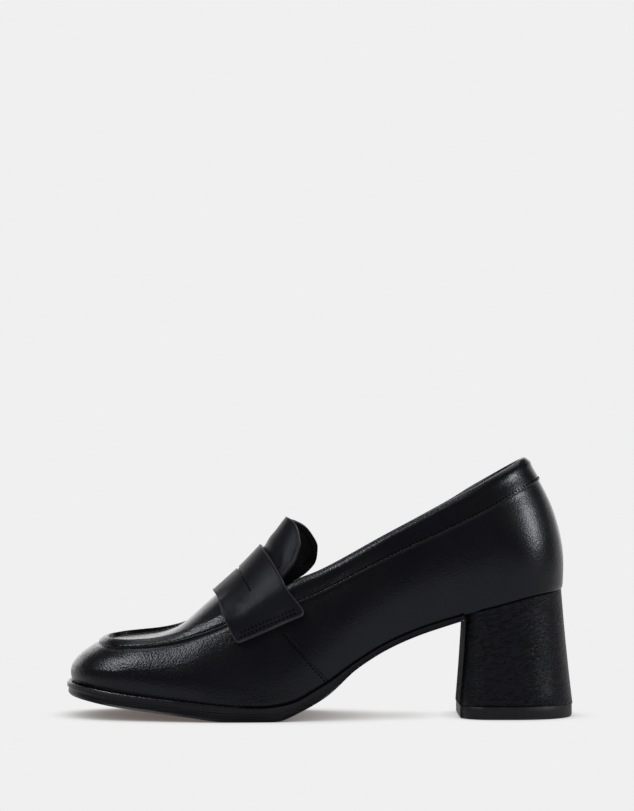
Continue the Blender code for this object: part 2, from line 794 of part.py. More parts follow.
def centre_on_floor(pieces):
    """Move all the pieces together so that the middle of their box stands at the origin."""
    corners = np.array([corner.co for piece in pieces for corner in piece.data.vertices])
    low = corners.min(axis=0)
    high = corners.max(axis=0)
    shift = np.array([-(low[0] + high[0]) / 2.0, -(low[1] + high[1]) / 2.0, -low[2]])
    for piece in pieces:
        for corner in piece.data.vertices:
            corner.co = np.array(corner.co) + shift


def main():
    for item in list(bpy.data.objects):
        bpy.data.objects.remove(item, do_unlink=True)
    collection = bpy.data.collections.new("heeled_penny_loafer")
    bpy.context.scene.collection.children.link(collection)
    pieces = [
        make_upper(collection, leather("upper_leather", BLACK, 0.38)),
        make_saddle_strap(collection, leather("strap_leather", BLACK, 0.36)),
        make_tongue(collection, leather("tongue_leather", BLACK, 0.38)),
        make_outsole(collection, leather("sole_edge", BLACK, 0.45)),
        make_insole(collection, leather("insole_lining", LINING_BLACK, 0.6)),
        make_heel_block(collection, leather("heel_leather", BLACK, 0.36)),
        make_top_lift(collection, leather("lift_rubber", RUBBER_BLACK, 0.6)),
    ]
    centre_on_floor(pieces)


main()
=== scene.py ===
"""Finish the heeled penny loafer: leather, seams, stitches, sole, heel, studio and camera.

The toe points to -X, the outer side of the foot faces -Y and +Z is up. Tables are in millimetres.
"""

import math
from collections import namedtuple

import bpy
import numpy as np
from bpy.props import FloatProperty, FloatVectorProperty, PointerProperty
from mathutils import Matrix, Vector
from mathutils.bvhtree import BVHTree
from mathutils.kdtree import KDTree


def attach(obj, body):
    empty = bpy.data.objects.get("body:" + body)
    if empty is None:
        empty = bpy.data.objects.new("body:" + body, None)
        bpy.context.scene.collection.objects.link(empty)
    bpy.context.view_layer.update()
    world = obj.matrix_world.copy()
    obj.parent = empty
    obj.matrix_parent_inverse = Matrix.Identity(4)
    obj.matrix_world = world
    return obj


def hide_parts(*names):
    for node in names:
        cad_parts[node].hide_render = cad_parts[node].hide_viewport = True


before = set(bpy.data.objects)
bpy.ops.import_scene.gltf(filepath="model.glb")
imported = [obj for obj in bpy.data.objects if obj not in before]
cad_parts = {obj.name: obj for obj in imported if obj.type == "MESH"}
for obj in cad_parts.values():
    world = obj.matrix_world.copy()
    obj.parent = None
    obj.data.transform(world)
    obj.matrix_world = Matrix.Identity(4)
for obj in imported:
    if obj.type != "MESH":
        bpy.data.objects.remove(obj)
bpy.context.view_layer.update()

bl_info = {
    "name": "Heeled Penny Loafer",
    "version": (1, 0, 0),
    "blender": (4, 5, 0),
    "location": "View3D > Sidebar > Loafer",
    "description": "Finishes a heeled penny loafer with leather, stitches, sole and studio",
    "category": "Object",
}

MM = 0.001
LATERAL = -1
MEDIAL = 1
SIDES = ((LATERAL, "lateral"), (MEDIAL, "medial"))

# The solids stand this far from the zero of the last's tables
FRAME_SHIFT = np.array([0.4, 1.0, 0.0])

# The last: ends of its arcs, and the squareness of toe and heel
TOE_ARC_X = -78.0
HEEL_ARC_X = 86.0
FOOT_TOE_X = -118.0
FOOT_HEEL_X = 114.7
TOP_TOE_X = -106.0
TOP_HEEL_ARC_X = 68.0
TOP_HEEL_X = 97.4
TOE_SQUARENESS = 2.6
HEEL_SQUARENESS = 2.2

Foot = namedtuple("Foot", "x centre lateral medial height lean bulge")
Top = namedtuple("Top", "x centre lateral medial height medial_rise")
Lean = namedtuple("Lean", "x top_x")
Spine = namedtuple("Spine", "x height flatness")
StrapRow = namedtuple("StrapRow", "x front rear")
TongueRow = namedtuple("TongueRow", "x edge")
TongueEnd = namedtuple("TongueEnd", "x end")
Station = namedtuple("Station", "foot_x foot_fill top_x top_fill")
Fold = namedtuple("Fold", "side start_x start_z end_x end_z width lift")
Crease = namedtuple("Crease", "angle amount within", defaults=(None,))
Finish = namedtuple("Finish", "sheen dull tone")
Softbox = namedtuple("Softbox", "name place aim width height")

# Feather line: plan outline, height, and how the wall above it leans in and swells
FEET = (
    Foot(-118.0, 6.0, -31.0, 37.0, 17.0, 2.3, 1.6),
    Foot(-94.0, 5.0, -32.5, 38.0, 12.6, 2.1, 2.2),
    Foot(-64.0, 4.0, -38.5, 38.5, 9.3, 1.7, 2.2),
    Foot(-45.0, 3.0, -40.5, 38.0, 7.6, 1.4, 1.5),
    Foot(-28.0, 1.5, -39.8, 35.0, 6.7, 1.35, 1.5),
    Foot(-16.0, 1.0, -38.0, 31.5, 8.0, 1.45, 2.0),
    Foot(2.5, 0.0, -34.5, 27.0, 17.4, 1.6, 3.0),
    Foot(16.0, 0.0, -32.0, 24.5, 27.0, 1.7, 4.0),
    Foot(31.0, 0.0, -29.8, 23.5, 36.0, 1.8, 3.9),
    Foot(46.0, 0.0, -28.3, 24.0, 42.5, 1.9, 3.7),
    Foot(61.0, 0.0, -27.6, 25.2, 47.3, 2.0, 3.6),
    Foot(85.0, 0.0, -27.3, 26.5, 53.6, 2.0, 3.2),
    Foot(99.0, 0.0, -27.2, 26.6, 57.4, 2.0, 3.0),
    Foot(114.7, 0.0, -27.0, 26.5, 60.5, 2.0, 2.3),
)

# Outer seam of the apron's rim as far as the strap, and the top line behind it
TOPS = (
    Top(-106.0, 6.0, -25.0, 33.0, 34.5, 0.8),
    Top(-93.0, 5.0, -27.0, 33.2, 33.0, 4.5),
    Top(-80.0, 4.5, -28.6, 33.3, 33.8, 4.4),
    Top(-66.5, 4.0, -29.8, 32.5, 36.0, 3.2),
    Top(-55.0, 3.5, -30.8, 31.0, 39.5, 2.0),
    Top(-44.0, 3.0, -31.2, 29.5, 43.6, 1.2),
    Top(-30.0, 2.0, -29.8, 27.0, 52.4, 0.4),
    Top(-17.0, 1.0, -28.0, 25.2, 61.4, -0.6),
    Top(1.0, 0.0, -27.0, 25.0, 69.5, -1.4),
    Top(31.0, 0.0, -26.5, 24.5, 85.8, -1.4),
    Top(61.0, 0.0, -25.0, 24.0, 101.5, -1.0),
    Top(76.0, 0.0, -23.8, 23.4, 109.7, -0.1),
    Top(97.4, 0.0, -22.0, 22.0, 122.0, 0.0),
)

# Where the rib that starts at x on the feather line reaches the top line
LEANS = (
    Lean(-78.0, -78.0),
    Lean(-50.0, -50.0),
    Lean(0.0, 0.0),
    Lean(40.0, 34.0),
    Lean(86.0, 68.0),
)

# Middle line of the apron and of the tongue that carries it on
SPINES = (
    Spine(-106.0, 35.0, 5.0),
    Spine(-92.0, 36.0, 5.0),
    Spine(-82.0, 37.2, 4.6),
    Spine(-73.0, 39.4, 4.0),
    Spine(-66.0, 42.8, 3.3),
    Spine(-60.0, 48.0, 2.7),
    Spine(-52.0, 55.2, 2.2),
    Spine(-44.0, 62.3, 2.0),
    Spine(-36.0, 69.6, 2.0),
    Spine(-28.0, 77.9, 2.0),
    Spine(-24.0, 82.2, 2.0),
    Spine(-20.0, 87.2, 2.0),
    Spine(-15.0, 93.6, 2.0),
    Spine(-8.0, 99.0, 2.0),
)

# Edges of the strap, front and rear; x runs from 0 on the ridge of the instep to 1 at the strap's end
STRAP_ROWS = (
    StrapRow(0.0, -49.2, -26.6),
    StrapRow(0.12, -49.0, -26.3),
    StrapRow(0.4, -46.9, -23.6),
    StrapRow(0.75, -43.2, -16.6),
)
STRAP_TOP_SHARE = 0.75

# The strap's slit: its line and width in shares of the strap, its place in the side view, the ribbed strip
# behind it, and the small steps that give the apron's normal there
SLIT_MIDDLE = 0.52
SLIT_REACH = 0.62
SLIT_WIDTH = 0.06
SLIT_END_WIDTH = 0.015
SLIT_X = -35.5
SLIT_HALF_SPAN = 5.5
SLIT_LOW_Z = 56.0
SLIT_SECTIONS = 33
SLIT_BASE_HALF = 2.4
SLIT_BASE_LOW = 0.05
SLIT_BASE_HIGH = 0.3
SLIT_RIB_FOOT = 0.35
SLIT_RIB_HEIGHT = 2.0
SLIT_SHADE_ANGLE = 40.0
NORMAL_STEP = 0.5
NORMAL_SHARE = 0.01

# Side edge of the tongue, as a share of the way from the top line to the ridge; x is the share of its length
TONGUE_EDGES = (
    TongueRow(0.0, 0.12),
    TongueRow(0.6, 0.11),
    TongueRow(0.8, 0.12),
    TongueRow(0.92, 0.17),
    TongueRow(1.0, 0.29),
)

# Free end of the tongue; x runs from 0 at its side edge to 1 on the ridge
TONGUE_ENDS = (
    TongueEnd(0.0, -9.6),
    TongueEnd(0.3, -11.0),
    TongueEnd(0.6, -13.6),
    TongueEnd(0.85, -15.1),
    TongueEnd(1.0, -15.3),
)
TONGUE_START_X = -33.1
TONGUE_SWING = 11.2
TONGUE_SWING_START_X = -34.0
TONGUE_SWING_X = -18.0

# Joining up the solids' triangles, and the edges that count as sharp, in degrees
MERGE_DISTANCE = 0.01
QUAD_FACE_ANGLE = 80.0
QUAD_SHAPE_ANGLE = 170.0
SHARP_ANGLE = 50.0
SHADE_ANGLE = 50.0

# Edges held in smoothing: least angle, amount, and the range of x where there is one
UPPER_CREASES = (
    Crease(14.0, 0.42, (-112.0, -36.0)),
    Crease(12.0, 0.5, (-24.0, 125.0)),
    Crease(60.0, -0.5, (-24.0, 125.0)),
)
OUTSOLE_CREASE = Crease(30.0, 0.6)
INSOLE_CREASE = Crease(50.0, 0.6)
HEEL_CREASE = Crease(50.0, 0.85)
LIFT_CREASE = Crease(30.0, 0.85)

# Spots inside upper and tongue, the angle that bounds their linings, and how squarely a face has to look
# down to be underside, or forward to be the heel's breast
UPPER_INSIDE = (60.0, -22.0, 75.0)
UPPER_INSIDE_TURN = 75.0
TONGUE_INSIDE = (-14.0, 6.0, 84.0)
TONGUE_INSIDE_TURN = 60.0
UNDERSIDE_FACING = 0.75
BREAST_FACING = 0.9

# How closely lines are sampled, and how far out a line starts, in metres, to be laid on the shoe's side
BORDER_POINTS = 12
POINTS_AT_ONCE = 4000
SIDE_LINE_POINTS = 40
BEAD_PITCH = 0.8
WELL_OUTSIDE = 0.2

# Seams of the upper
COLLAR_BAND_DEPTH = 10.0
COLLAR_SEAM_START_X = -22.0
COLLAR_LINE_OUT = 0.6
RIM_SEAM_END_X = -36.0
RIM_GROOVE_DEPTH = 0.6
RIM_GROOVE_WIDTH = 0.5
RIM_BEAD_INSET = 0.75
RIM_BEAD_LIFT = 0.6
RIM_BEAD_RADIUS = 0.5
RIM_BEAD_START_X = -84.0
RIM_BEAD_TAPER = 0.4
RIM_BEAD_SWELL = 0.7
COLLAR_ROLL = 0.5
COLLAR_ROLL_DEPTH = 2.4
COLLAR_ROLL_SPREAD = 0.6
COLLAR_OUTSIDE = -0.2
COLLAR_BEAD_RISE = 0.35
COLLAR_BEAD_RADIUS = 0.42
WRINKLE_PITCH = 0.9
WRINKLE_LENGTH = 4.0
WRINKLE_DEPTH = 0.05
WRINKLE_END = 0.95
VAMP_SEAM_TOP = (-16.1, 41.3)
VAMP_SEAM_FOOT = (3.6, 19.0)
VAMP_EDGE_RADIUS = 0.34

# Ridge line along the sole's top edge
SOLE_RIDGE_END_X = -22.0
SOLE_RIDGE_OUT = 2.0
SOLE_RIDGE_DROP = 0.5
SOLE_RIDGE_RADIUS = 0.4
SOLE_RIDGE_TAPER = 0.15

# Rows of stitches and needle holes, measured from the edge that they follow
COLLAR_STITCH_RISE = 1.1
VAMP_STITCH_INSET = 1.3
STRAP_LOW_FRONT = (-37.2, 35.6)
STRAP_LOW_REAR = (-6.6, 48.8)
STRAP_STITCH_ROWS = (2.8, 4.8)
STRAP_STITCH_STAGGER = 0.9
STRAP_STITCH_END = 2.2
TONGUE_STITCH_SPAN = 0.1
TONGUE_STITCH_LENGTH = 0.91
TONGUE_STITCH_START = 0.45
TONGUE_STITCH_POINTS = 24
THREAD_FLATNESS = 0.7
HOLE_FLATNESS = 0.5
# The needle holes are painted shade of this colour
HOLE_SHADE_COLOUR = (0.0005, 0.0005, 0.0005)

# Where the grain is full and where it is calm, its share there, and the unevenness and pores that go with it
GRAIN_FULL_X = -40.0
GRAIN_CALM_X = 40.0
GRAIN_CALM = 0.55
UNEVEN_SCALE = 0.12
UNEVEN_DEPTH = 2.0
PORE_SCALE = 2.2
PORE_DEPTH = 0.5

# The part of a noise's range that is spread over a roughness
NOISE_LOW = 0.3
NOISE_HIGH = 0.7

# Gloss, added roughness and tone of each leather against those of the upper
PLAIN_FINISH = Finish(1.0, 0.0, 1.0)
STRAP_FINISH = Finish(0.3, 0.1, 1.6)
TONGUE_FINISH = Finish(0.16, 0.06, 2.0)
HEEL_FINISH = Finish(0.45, 0.16, 1.0)
BREAST_FINISH = Finish(0.1, 0.5, 1.0)
CUT_EDGE_FINISH = Finish(0.4, 0.3, 1.0)

# Creases of the heel's cover, painted darker along their lines as painted shade: scale for each axis, slant
# in degrees, width as a share of the noise, and depth
HEEL_CREASE_SCALE = (150.0, 150.0, 620.0)
HEEL_CREASE_SLANT = 14.0
HEEL_CREASE_WIDTH = 0.09
HEEL_CREASE_DEPTH = 0.15

# Folded edges of strap and tongue, with a painted highlight along them; places and spreads are shares of the
# roll's width
EDGE_ROLL_WIDTH = 0.6
EDGE_ROLL_AT = 0.6
EDGE_ROLL_SPREAD = 0.5
EDGE_FURROW_AT = 1.9
EDGE_FURROW_SHARE = 0.6
EDGE_HIGHLIGHT_SPREAD = 0.65
EDGE_HIGHLIGHT_TONE = 6.0
STRAP_EDGE_ROUND = 0.35
STRAP_EDGE_RISE = 0.14
TONGUE_EDGE_ROUND = 0.4
TONGUE_EDGE_RISE = 0.12

# How far the strap settles on the instep, and the heights between which it starts to
STRAP_SETTLE = 0.5
STRAP_SETTLE_LOW = 46.0
STRAP_SETTLE_HIGH = 60.0

# Soft folds of the strap, in the side view: a ridge lifts and a dimple sinks
STRAP_FOLDS = (
    Fold(LATERAL, -45.5, 49.8, -37.0, 54.6, 1.8, 0.3),
    Fold(LATERAL, -41.5, 47.0, -29.0, 53.2, 2.6, -0.25),
    Fold(MEDIAL, -45.5, 49.8, -37.0, 54.6, 1.8, 0.3),
)

# Where the tongue swells out from under the strap
TONGUE_FOLDS = (
    Fold(LATERAL, -26.0, 81.4, -15.6, 60.5, 4.6, 0.5),
    Fold(MEDIAL, -26.0, 81.4, -15.6, 60.5, 4.6, 0.5),
)

# Studio, in metres; the floor ends before the card, so that no line shows between them
STAGE_WIDTH = 16.0
FLOOR_DEPTH = 11.0
FLOOR_MIDDLE_Y = -2.1
CARD_Y = 3.6
CARD_SUNK = 0.02
SHADOW_CLEARING = 1.28
OVERHEAD_SOFTBOX = Softbox("overhead_softbox", (0.0, 0.5, 1.5), (0.0, 0.25, 0.05), 1.2, 0.9)
LEFT_SOFTBOX = Softbox("left_softbox", (-0.82, -0.44, 1.12), (-0.06, 0.0, 0.03), 0.5, 0.5)
REAR_SOFTBOX = Softbox("rear_softbox", (0.0, 3.4, 0.9), (0.0, 0.0, 0.05), 5.0, 1.8)
RIGHT_SOFTBOX = Softbox("right_softbox", (1.3, -0.58, 0.7), (0.1, 0.0, 0.1), 0.3, 0.6)

# Camera, in the photo's frame
CAMERA_PLACE = (-0.0012, -1.33, 0.112)
CAMERA_PITCH = 91.51
CAMERA_LENS = 124.0
CAMERA_CLIP = (0.05, 50.0)


def curve_through(rows, column):
    """Return a smooth function of x through one column of a table."""
    xs = np.array([row.x for row in rows])
    ys = np.array([getattr(row, column) for row in rows])
    slopes = np.diff(ys) / np.diff(xs)
    tangents = np.zeros(len(xs))
    tangents[0] = slopes[0]
    tangents[-1] = slopes[-1]
    for i in range(1, len(xs) - 1):
        before, after = slopes[i - 1], slopes[i]
        if before * after > 0.0:
            tangents[i] = 2.0 * before * after / (before + after)

    def value(x):
        x = min(max(x, xs[0]), xs[-1])
        i = min(int(np.searchsorted(xs, x, side="right")) - 1, len(xs) - 2)
        span = xs[i + 1] - xs[i]
        s = (x - xs[i]) / span
        rise = s * s * (3.0 - 2.0 * s)
        leave = s * (1.0 - s) ** 2 * span * tangents[i]
        arrive = s * s * (s - 1.0) * span * tangents[i + 1]
        return ys[i] + (ys[i + 1] - ys[i]) * rise + leave + arrive

    return value


FOOT_AT = {column: curve_through(FEET, column) for column in Foot._fields[1:]}
TOP_AT = {column: curve_through(TOPS, column) for column in Top._fields[1:]}
SPINE_AT = {column: curve_through(SPINES, column) for column in Spine._fields[1:]}
STRAP_AT = {column: curve_through(STRAP_ROWS, column) for column in StrapRow._fields[1:]}
TOP_X_AT = curve_through(LEANS, "top_x")
TONGUE_EDGE_AT = curve_through(TONGUE_EDGES, "edge")
TONGUE_END_AT = curve_through(TONGUE_ENDS, "end")


def blend(start, end, share):
    """Go a share of the way from start to end."""
    return start + (end - start) * share


def end_arc(angle, squareness):
    """Give the length and width shares of a rounded end, from its tip at 0 to its side at a right angle."""
    length = max(math.cos(angle), 0.0) ** (2.0 / squareness)
    width = max(math.sin(angle), 0.0) ** (2.0 / squareness)
    return length, width


def last_stations(toe=24, sides=60, heel=24):
    """List the stations of one side of the last from the toe's middle to the heel's middle."""
    stations = []
    for i in range(toe):
        length, width = end_arc(math.pi / 2.0 * i / toe, TOE_SQUARENESS)
        stations.append(Station(blend(TOE_ARC_X, FOOT_TOE_X, length), width,
                                blend(TOE_ARC_X, TOP_TOE_X, length), width))
    for x in np.linspace(TOE_ARC_X, HEEL_ARC_X, sides + 1):
        stations.append(Station(float(x), 1.0, TOP_X_AT(float(x)), 1.0))
    for i in range(1, heel + 1):
        length, width = end_arc(math.pi / 2.0 * (1.0 - i / heel), HEEL_SQUARENESS)
        stations.append(Station(blend(HEEL_ARC_X, FOOT_HEEL_X, length), width,
                                blend(TOP_HEEL_ARC_X, TOP_HEEL_X, length), width))
    return stations


def foot_point(side, station):
    """Give the point of the feather line at a station."""
    edge = FOOT_AT["lateral" if side == LATERAL else "medial"](station.foot_x)
    y = blend(FOOT_AT["centre"](station.foot_x), edge, station.foot_fill)
    return np.array([station.foot_x, y, FOOT_AT["height"](station.foot_x)])


def top_point(side, station):
    """Give the point of the top line or the rim's seam at a station."""
    edge = TOP_AT["lateral" if side == LATERAL else "medial"](station.top_x)
    y = blend(TOP_AT["centre"](station.top_x), edge, station.top_fill)
    z = TOP_AT["height"](station.top_x)
    if side == MEDIAL:
        z += TOP_AT["medial_rise"](station.top_x) * station.top_fill
    return np.array([station.top_x, y, z])


def outward(side, station):
    """Give the level direction out of the last at a station."""
    fill = station.foot_fill
    along, across = 0.0, 1.0
    if station.foot_x < TOE_ARC_X:
        along = -((1.0 - fill ** TOE_SQUARENESS) ** (1.0 - 1.0 / TOE_SQUARENESS))
        across = fill ** (TOE_SQUARENESS - 1.0)
    elif station.foot_x > HEEL_ARC_X:
        along = (1.0 - fill ** HEEL_SQUARENESS) ** (1.0 - 1.0 / HEEL_SQUARENESS)
        across = fill ** (HEEL_SQUARENESS - 1.0)
    direction = np.array([along, side * across, 0.0])
    return direction / np.linalg.norm(direction)


def wall_point(side, station, drop, out=0.0):
    """Give a point of the side wall, so many millimetres below the top line and out of the wall."""
    foot = foot_point(side, station)
    top = top_point(side, station)
    rise = 1.0 - drop / (top[2] - foot[2])
    swell = FOOT_AT["bulge"](station.foot_x) * 4.0 * rise * (1.0 - rise)
    point = foot + (top - foot) * rise ** FOOT_AT["lean"](station.foot_x)
    point = point + outward(side, station) * (swell + out)
    point[2] = blend(foot[2], top[2], rise)
    return point


def side_station(x):
    """Give the station at x on the last's side, between its two arcs."""
    return Station(x, 1.0, TOP_X_AT(x), 1.0)


def apron_point(side, x, reach):
    """Give a point of the apron or the tongue; reach runs from 0 at the top line to 1 on the ridge."""
    top = top_point(side, side_station(x))
    spine = np.array([x, TOP_AT["centre"](x), SPINE_AT["height"](x)])
    point = blend(top, spine, reach)
    point[2] = blend(top[2], spine[2], 1.0 - (1.0 - reach) ** SPINE_AT["flatness"](x))
    return point


def tongue_point(side, span, length):
    """Give a point of the tongue; span runs from its side edge to the ridge and length from throat to end."""
    reach = blend(TONGUE_EDGE_AT(length), 1.0, span)
    x = blend(TONGUE_START_X, TONGUE_END_AT(span), length)
    point = apron_point(side, x, reach)
    if side == MEDIAL:
        swung = min(max((x - TONGUE_SWING_START_X) / (TONGUE_SWING_X - TONGUE_SWING_START_X), 0.0), 1.0)
        point[0] += TONGUE_SWING * swung * swung * (3.0 - 2.0 * swung) * (1.0 - reach)
    return point


def in_frame(points):
    """Turn the last's millimetres into the frame's metres."""
    return (np.asarray(points, dtype=float) + FRAME_SHIFT) * MM


def collar_line(drop):
    """Follow the collar round the heel, so far below the top line, from one side to the other."""
    rows = [station for station in last_stations() if station.top_x > COLLAR_SEAM_START_X]
    lateral = [wall_point(LATERAL, station, drop, COLLAR_LINE_OUT) for station in rows]
    medial = [wall_point(MEDIAL, station, drop, COLLAR_LINE_OUT) for station in rows]
    return in_frame(lateral + medial[-2::-1])


def rim_line():
    """Follow the rim's outer seam round the toe, from one side to the other."""
    rows = [station for station in last_stations() if station.top_x < RIM_SEAM_END_X]
    lateral = [top_point(LATERAL, station) for station in rows]
    medial = [top_point(MEDIAL, station) for station in rows]
    return in_frame(lateral[::-1] + medial[1:])


def select_only(piece):
    """Make one piece the only selected and the active object."""
    bpy.ops.object.select_all(action="DESELECT")
    piece.select_set(True)
    bpy.context.view_layer.objects.active = piece


def new_object(name, data):
    """Put a mesh, a curve, a light or a camera into the scene."""
    made = bpy.data.objects.new(name, data)
    bpy.context.scene.collection.objects.link(made)
    return made


def copy_of_node(node, name, *materials):
    """Copy a solid into a new piece, with its loose triangles joined up into quads."""
    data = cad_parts[node].data.copy()
    data.name = name
    data.materials.clear()
    piece = new_object(name, data)
    select_only(piece)
    bpy.ops.mesh.customdata_custom_splitnormals_clear()
    bpy.ops.object.mode_set(mode="EDIT")
    bpy.ops.mesh.select_all(action="SELECT")
    bpy.ops.mesh.remove_doubles(threshold=MERGE_DISTANCE * MM)
    bpy.ops.mesh.mark_sharp(clear=True)
    bpy.ops.mesh.tris_convert_to_quads(face_threshold=math.radians(QUAD_FACE_ANGLE),
                                       shape_threshold=math.radians(QUAD_SHAPE_ANGLE), topology_influence=1.0)
    bpy.ops.mesh.select_all(action="DESELECT")
    bpy.ops.object.mode_set(mode="OBJECT")
    for material in materials:
        data.materials.append(material)
    return piece


def select_sharp_edges(piece, angle):
    """Select the edges that turn by more than an angle, and stay in edit mode."""
    select_only(piece)
    bpy.ops.object.mode_set(mode="EDIT")
    bpy.ops.mesh.select_mode(type="EDGE")
    bpy.ops.mesh.select_all(action="DESELECT")
    bpy.ops.mesh.edges_select_sharp(sharpness=math.radians(angle))


def leave_edges():
    """Deselect everything, go back to picking faces and leave edit mode."""
    bpy.ops.mesh.select_all(action="DESELECT")
    bpy.ops.mesh.select_mode(type="FACE")
    bpy.ops.object.mode_set(mode="OBJECT")


def crease_sharp_edges(piece, crease):
    """Hold a piece's sharp edges when it is smoothed, or only those within a range of x."""
    select_sharp_edges(piece, crease.angle)
    if crease.within is not None:
        bpy.ops.object.mode_set(mode="OBJECT")
        corners = piece.data.vertices
        for edge in piece.data.edges:
            middle = (corners[edge.vertices[0]].co.x + corners[edge.vertices[1]].co.x) / (2.0 * MM)
            edge.select = edge.select and crease.within[0] < middle < crease.within[1]
        bpy.ops.object.mode_set(mode="EDIT")
    bpy.ops.transform.edge_crease(value=crease.amount)
    leave_edges()


def round_sharp_edges(piece, width):
    """Bevel the sharp edges of a piece."""
    select_sharp_edges(piece, SHARP_ANGLE)
    bpy.ops.mesh.bevel(offset=width * MM, segments=2, affect="EDGES", clamp_overlap=True)
    leave_edges()


def sharp_border(piece):
    """List points closely along the sharp edges of a piece."""
    select_sharp_edges(piece, SHARP_ANGLE)
    bpy.ops.object.mode_set(mode="OBJECT")
    places = corner_places(piece)
    shares = np.linspace(0.0, 1.0, BORDER_POINTS)[:, None]
    spots = [blend(places[edge.vertices[0]], places[edge.vertices[1]], shares)
             for edge in piece.data.edges if edge.select]
    return np.vstack(spots)


def roll_edge(piece, border, rise):
    """Swell a piece along its border as a folded edge does, with a slight furrow inside the swelling, and
    store the share of a painted highlight along the border.
    """
    tree = KDTree(len(border))
    for i, spot in enumerate(border):
        tree.insert(spot, i)
    tree.balance()
    distance = np.array([tree.find(place)[2] for place in corner_places(piece)]) / (EDGE_ROLL_WIDTH * MM)
    swell = np.exp(-((distance - EDGE_ROLL_AT) / EDGE_ROLL_SPREAD) ** 2)
    furrow = np.exp(-((distance - EDGE_FURROW_AT) / EDGE_ROLL_SPREAD) ** 2)
    move_out(piece, (swell - EDGE_FURROW_SHARE * furrow) * rise * MM)
    # Painted highlight: a share that is full at the border and fades inward, lightening the base colour there
    set_attribute(piece, "folded_edge", np.exp(-(distance / EDGE_HIGHLIGHT_SPREAD) ** 2))


def soften(piece, levels, rounds=3):
    """Round the piece with applied subdivisions that still pass through the solid's own corners."""
    select_only(piece)
    bpy.ops.object.modifier_add(type="SUBSURF")
    smoother = piece.modifiers[-1]
    smoother.levels = levels
    smoother.render_levels = levels
    wanted = corner_places(piece)
    for _ in range(rounds):
        smoothed = piece.evaluated_get(bpy.context.evaluated_depsgraph_get())
        missed = wanted - corner_places(smoothed)[:len(wanted)]
        place_corners(piece, corner_places(piece) + missed)
    bpy.ops.object.modifier_apply(modifier=smoother.name)


def smooth_shade(piece, angle=SHADE_ANGLE):
    """Shade a piece smoothly, apart from edges that turn by more than an angle."""
    select_only(piece)
    bpy.ops.object.shade_smooth_by_angle(angle=math.radians(angle))


def corner_places(piece):
    """List the places of a mesh's corners."""
    places = np.zeros(len(piece.data.vertices) * 3)
    piece.data.vertices.foreach_get("co", places)
    return places.reshape(-1, 3)


def place_corners(piece, places):
    """Put a mesh's corners in new places."""
    piece.data.vertices.foreach_set("co", places.ravel())
    piece.data.update()


def corner_normals(piece):
    """List the outward directions at a mesh's corners."""
    normals = np.zeros(len(piece.data.vertices) * 3, dtype=np.float32)
    piece.data.vertex_normals.foreach_get("vector", normals)
    return normals.reshape(-1, 3).astype(float)


def move_out(piece, amounts):
    """Move each corner of a piece along its normal."""
    place_corners(piece, corner_places(piece) + corner_normals(piece) * np.asarray(amounts)[:, None])


def line_measures(points, line):
    """Give each point's distance from a line, its run along the line and its offset from the nearest spot."""
    steps = np.diff(line, axis=0)
    lengths = np.linalg.norm(steps, axis=1)
    runs = np.concatenate(([0.0], np.cumsum(lengths)))
    distances, along, offsets = [], [], []
    for first in range(0, len(points), POINTS_AT_ONCE):
        chunk = points[first:first + POINTS_AT_ONCE]
        nearest = ((chunk[:, None, :] - line[None]) ** 2).sum(axis=2).argmin(axis=1)
        best = np.full(len(chunk), np.inf)
        best_run = np.zeros(len(chunk))
        best_offset = np.zeros((len(chunk), 3))
        for part in (np.clip(nearest - 1, 0, len(steps) - 1), np.clip(nearest, 0, len(steps) - 1)):
            share = ((chunk - line[part]) * steps[part]).sum(axis=1) / (lengths[part] ** 2)
            share = np.clip(share, 0.0, 1.0)
            offset = chunk - (line[part] + steps[part] * share[:, None])
            distance = np.linalg.norm(offset, axis=1)
            closer = distance < best
            best[closer] = distance[closer]
            best_run[closer] = (runs[part] + share * lengths[part])[closer]
            best_offset[closer] = offset[closer]
        distances.append(best)
        along.append(best_run)
        offsets.append(best_offset)
    return np.concatenate(distances), np.concatenate(along), np.vstack(offsets)


def fold_amounts(points, folds):
    """Give how far soft folds, placed in the side view, lift each point."""
    amounts = np.zeros(len(points))
    for fold in folds:
        start = np.array([fold.start_x, fold.start_z]) * MM
        along = np.array([fold.end_x, fold.end_z]) * MM - start
        flat = points[:, [0, 2]] - start
        share = np.clip(flat @ along / (along @ along), 0.0, 1.0)
        distance = np.linalg.norm(flat - share[:, None] * along, axis=1)
        on_side = (points[:, 1] * fold.side > 0.0).astype(float)
        amounts += fold.lift * MM * np.exp(-(distance / (fold.width * MM)) ** 2) * on_side
    return amounts


def set_attribute(piece, name, values):
    """Store one number for each corner of a piece."""
    attribute = piece.data.attributes.new(name, "FLOAT", "POINT")
    attribute.data.foreach_set("value", np.asarray(values, dtype=np.float32))


def surface_tree(name):
    """Make a finished piece's surface ready for finding spots on it."""
    return BVHTree.FromObject(bpy.data.objects[name], bpy.context.evaluated_depsgraph_get())


def put_in_place(piece, slot, *nodes):
    """Let a piece move with the shoe and let it stand for its solids; its slot is not used."""
    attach(piece, "root")
    if nodes:
        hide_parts(*nodes)


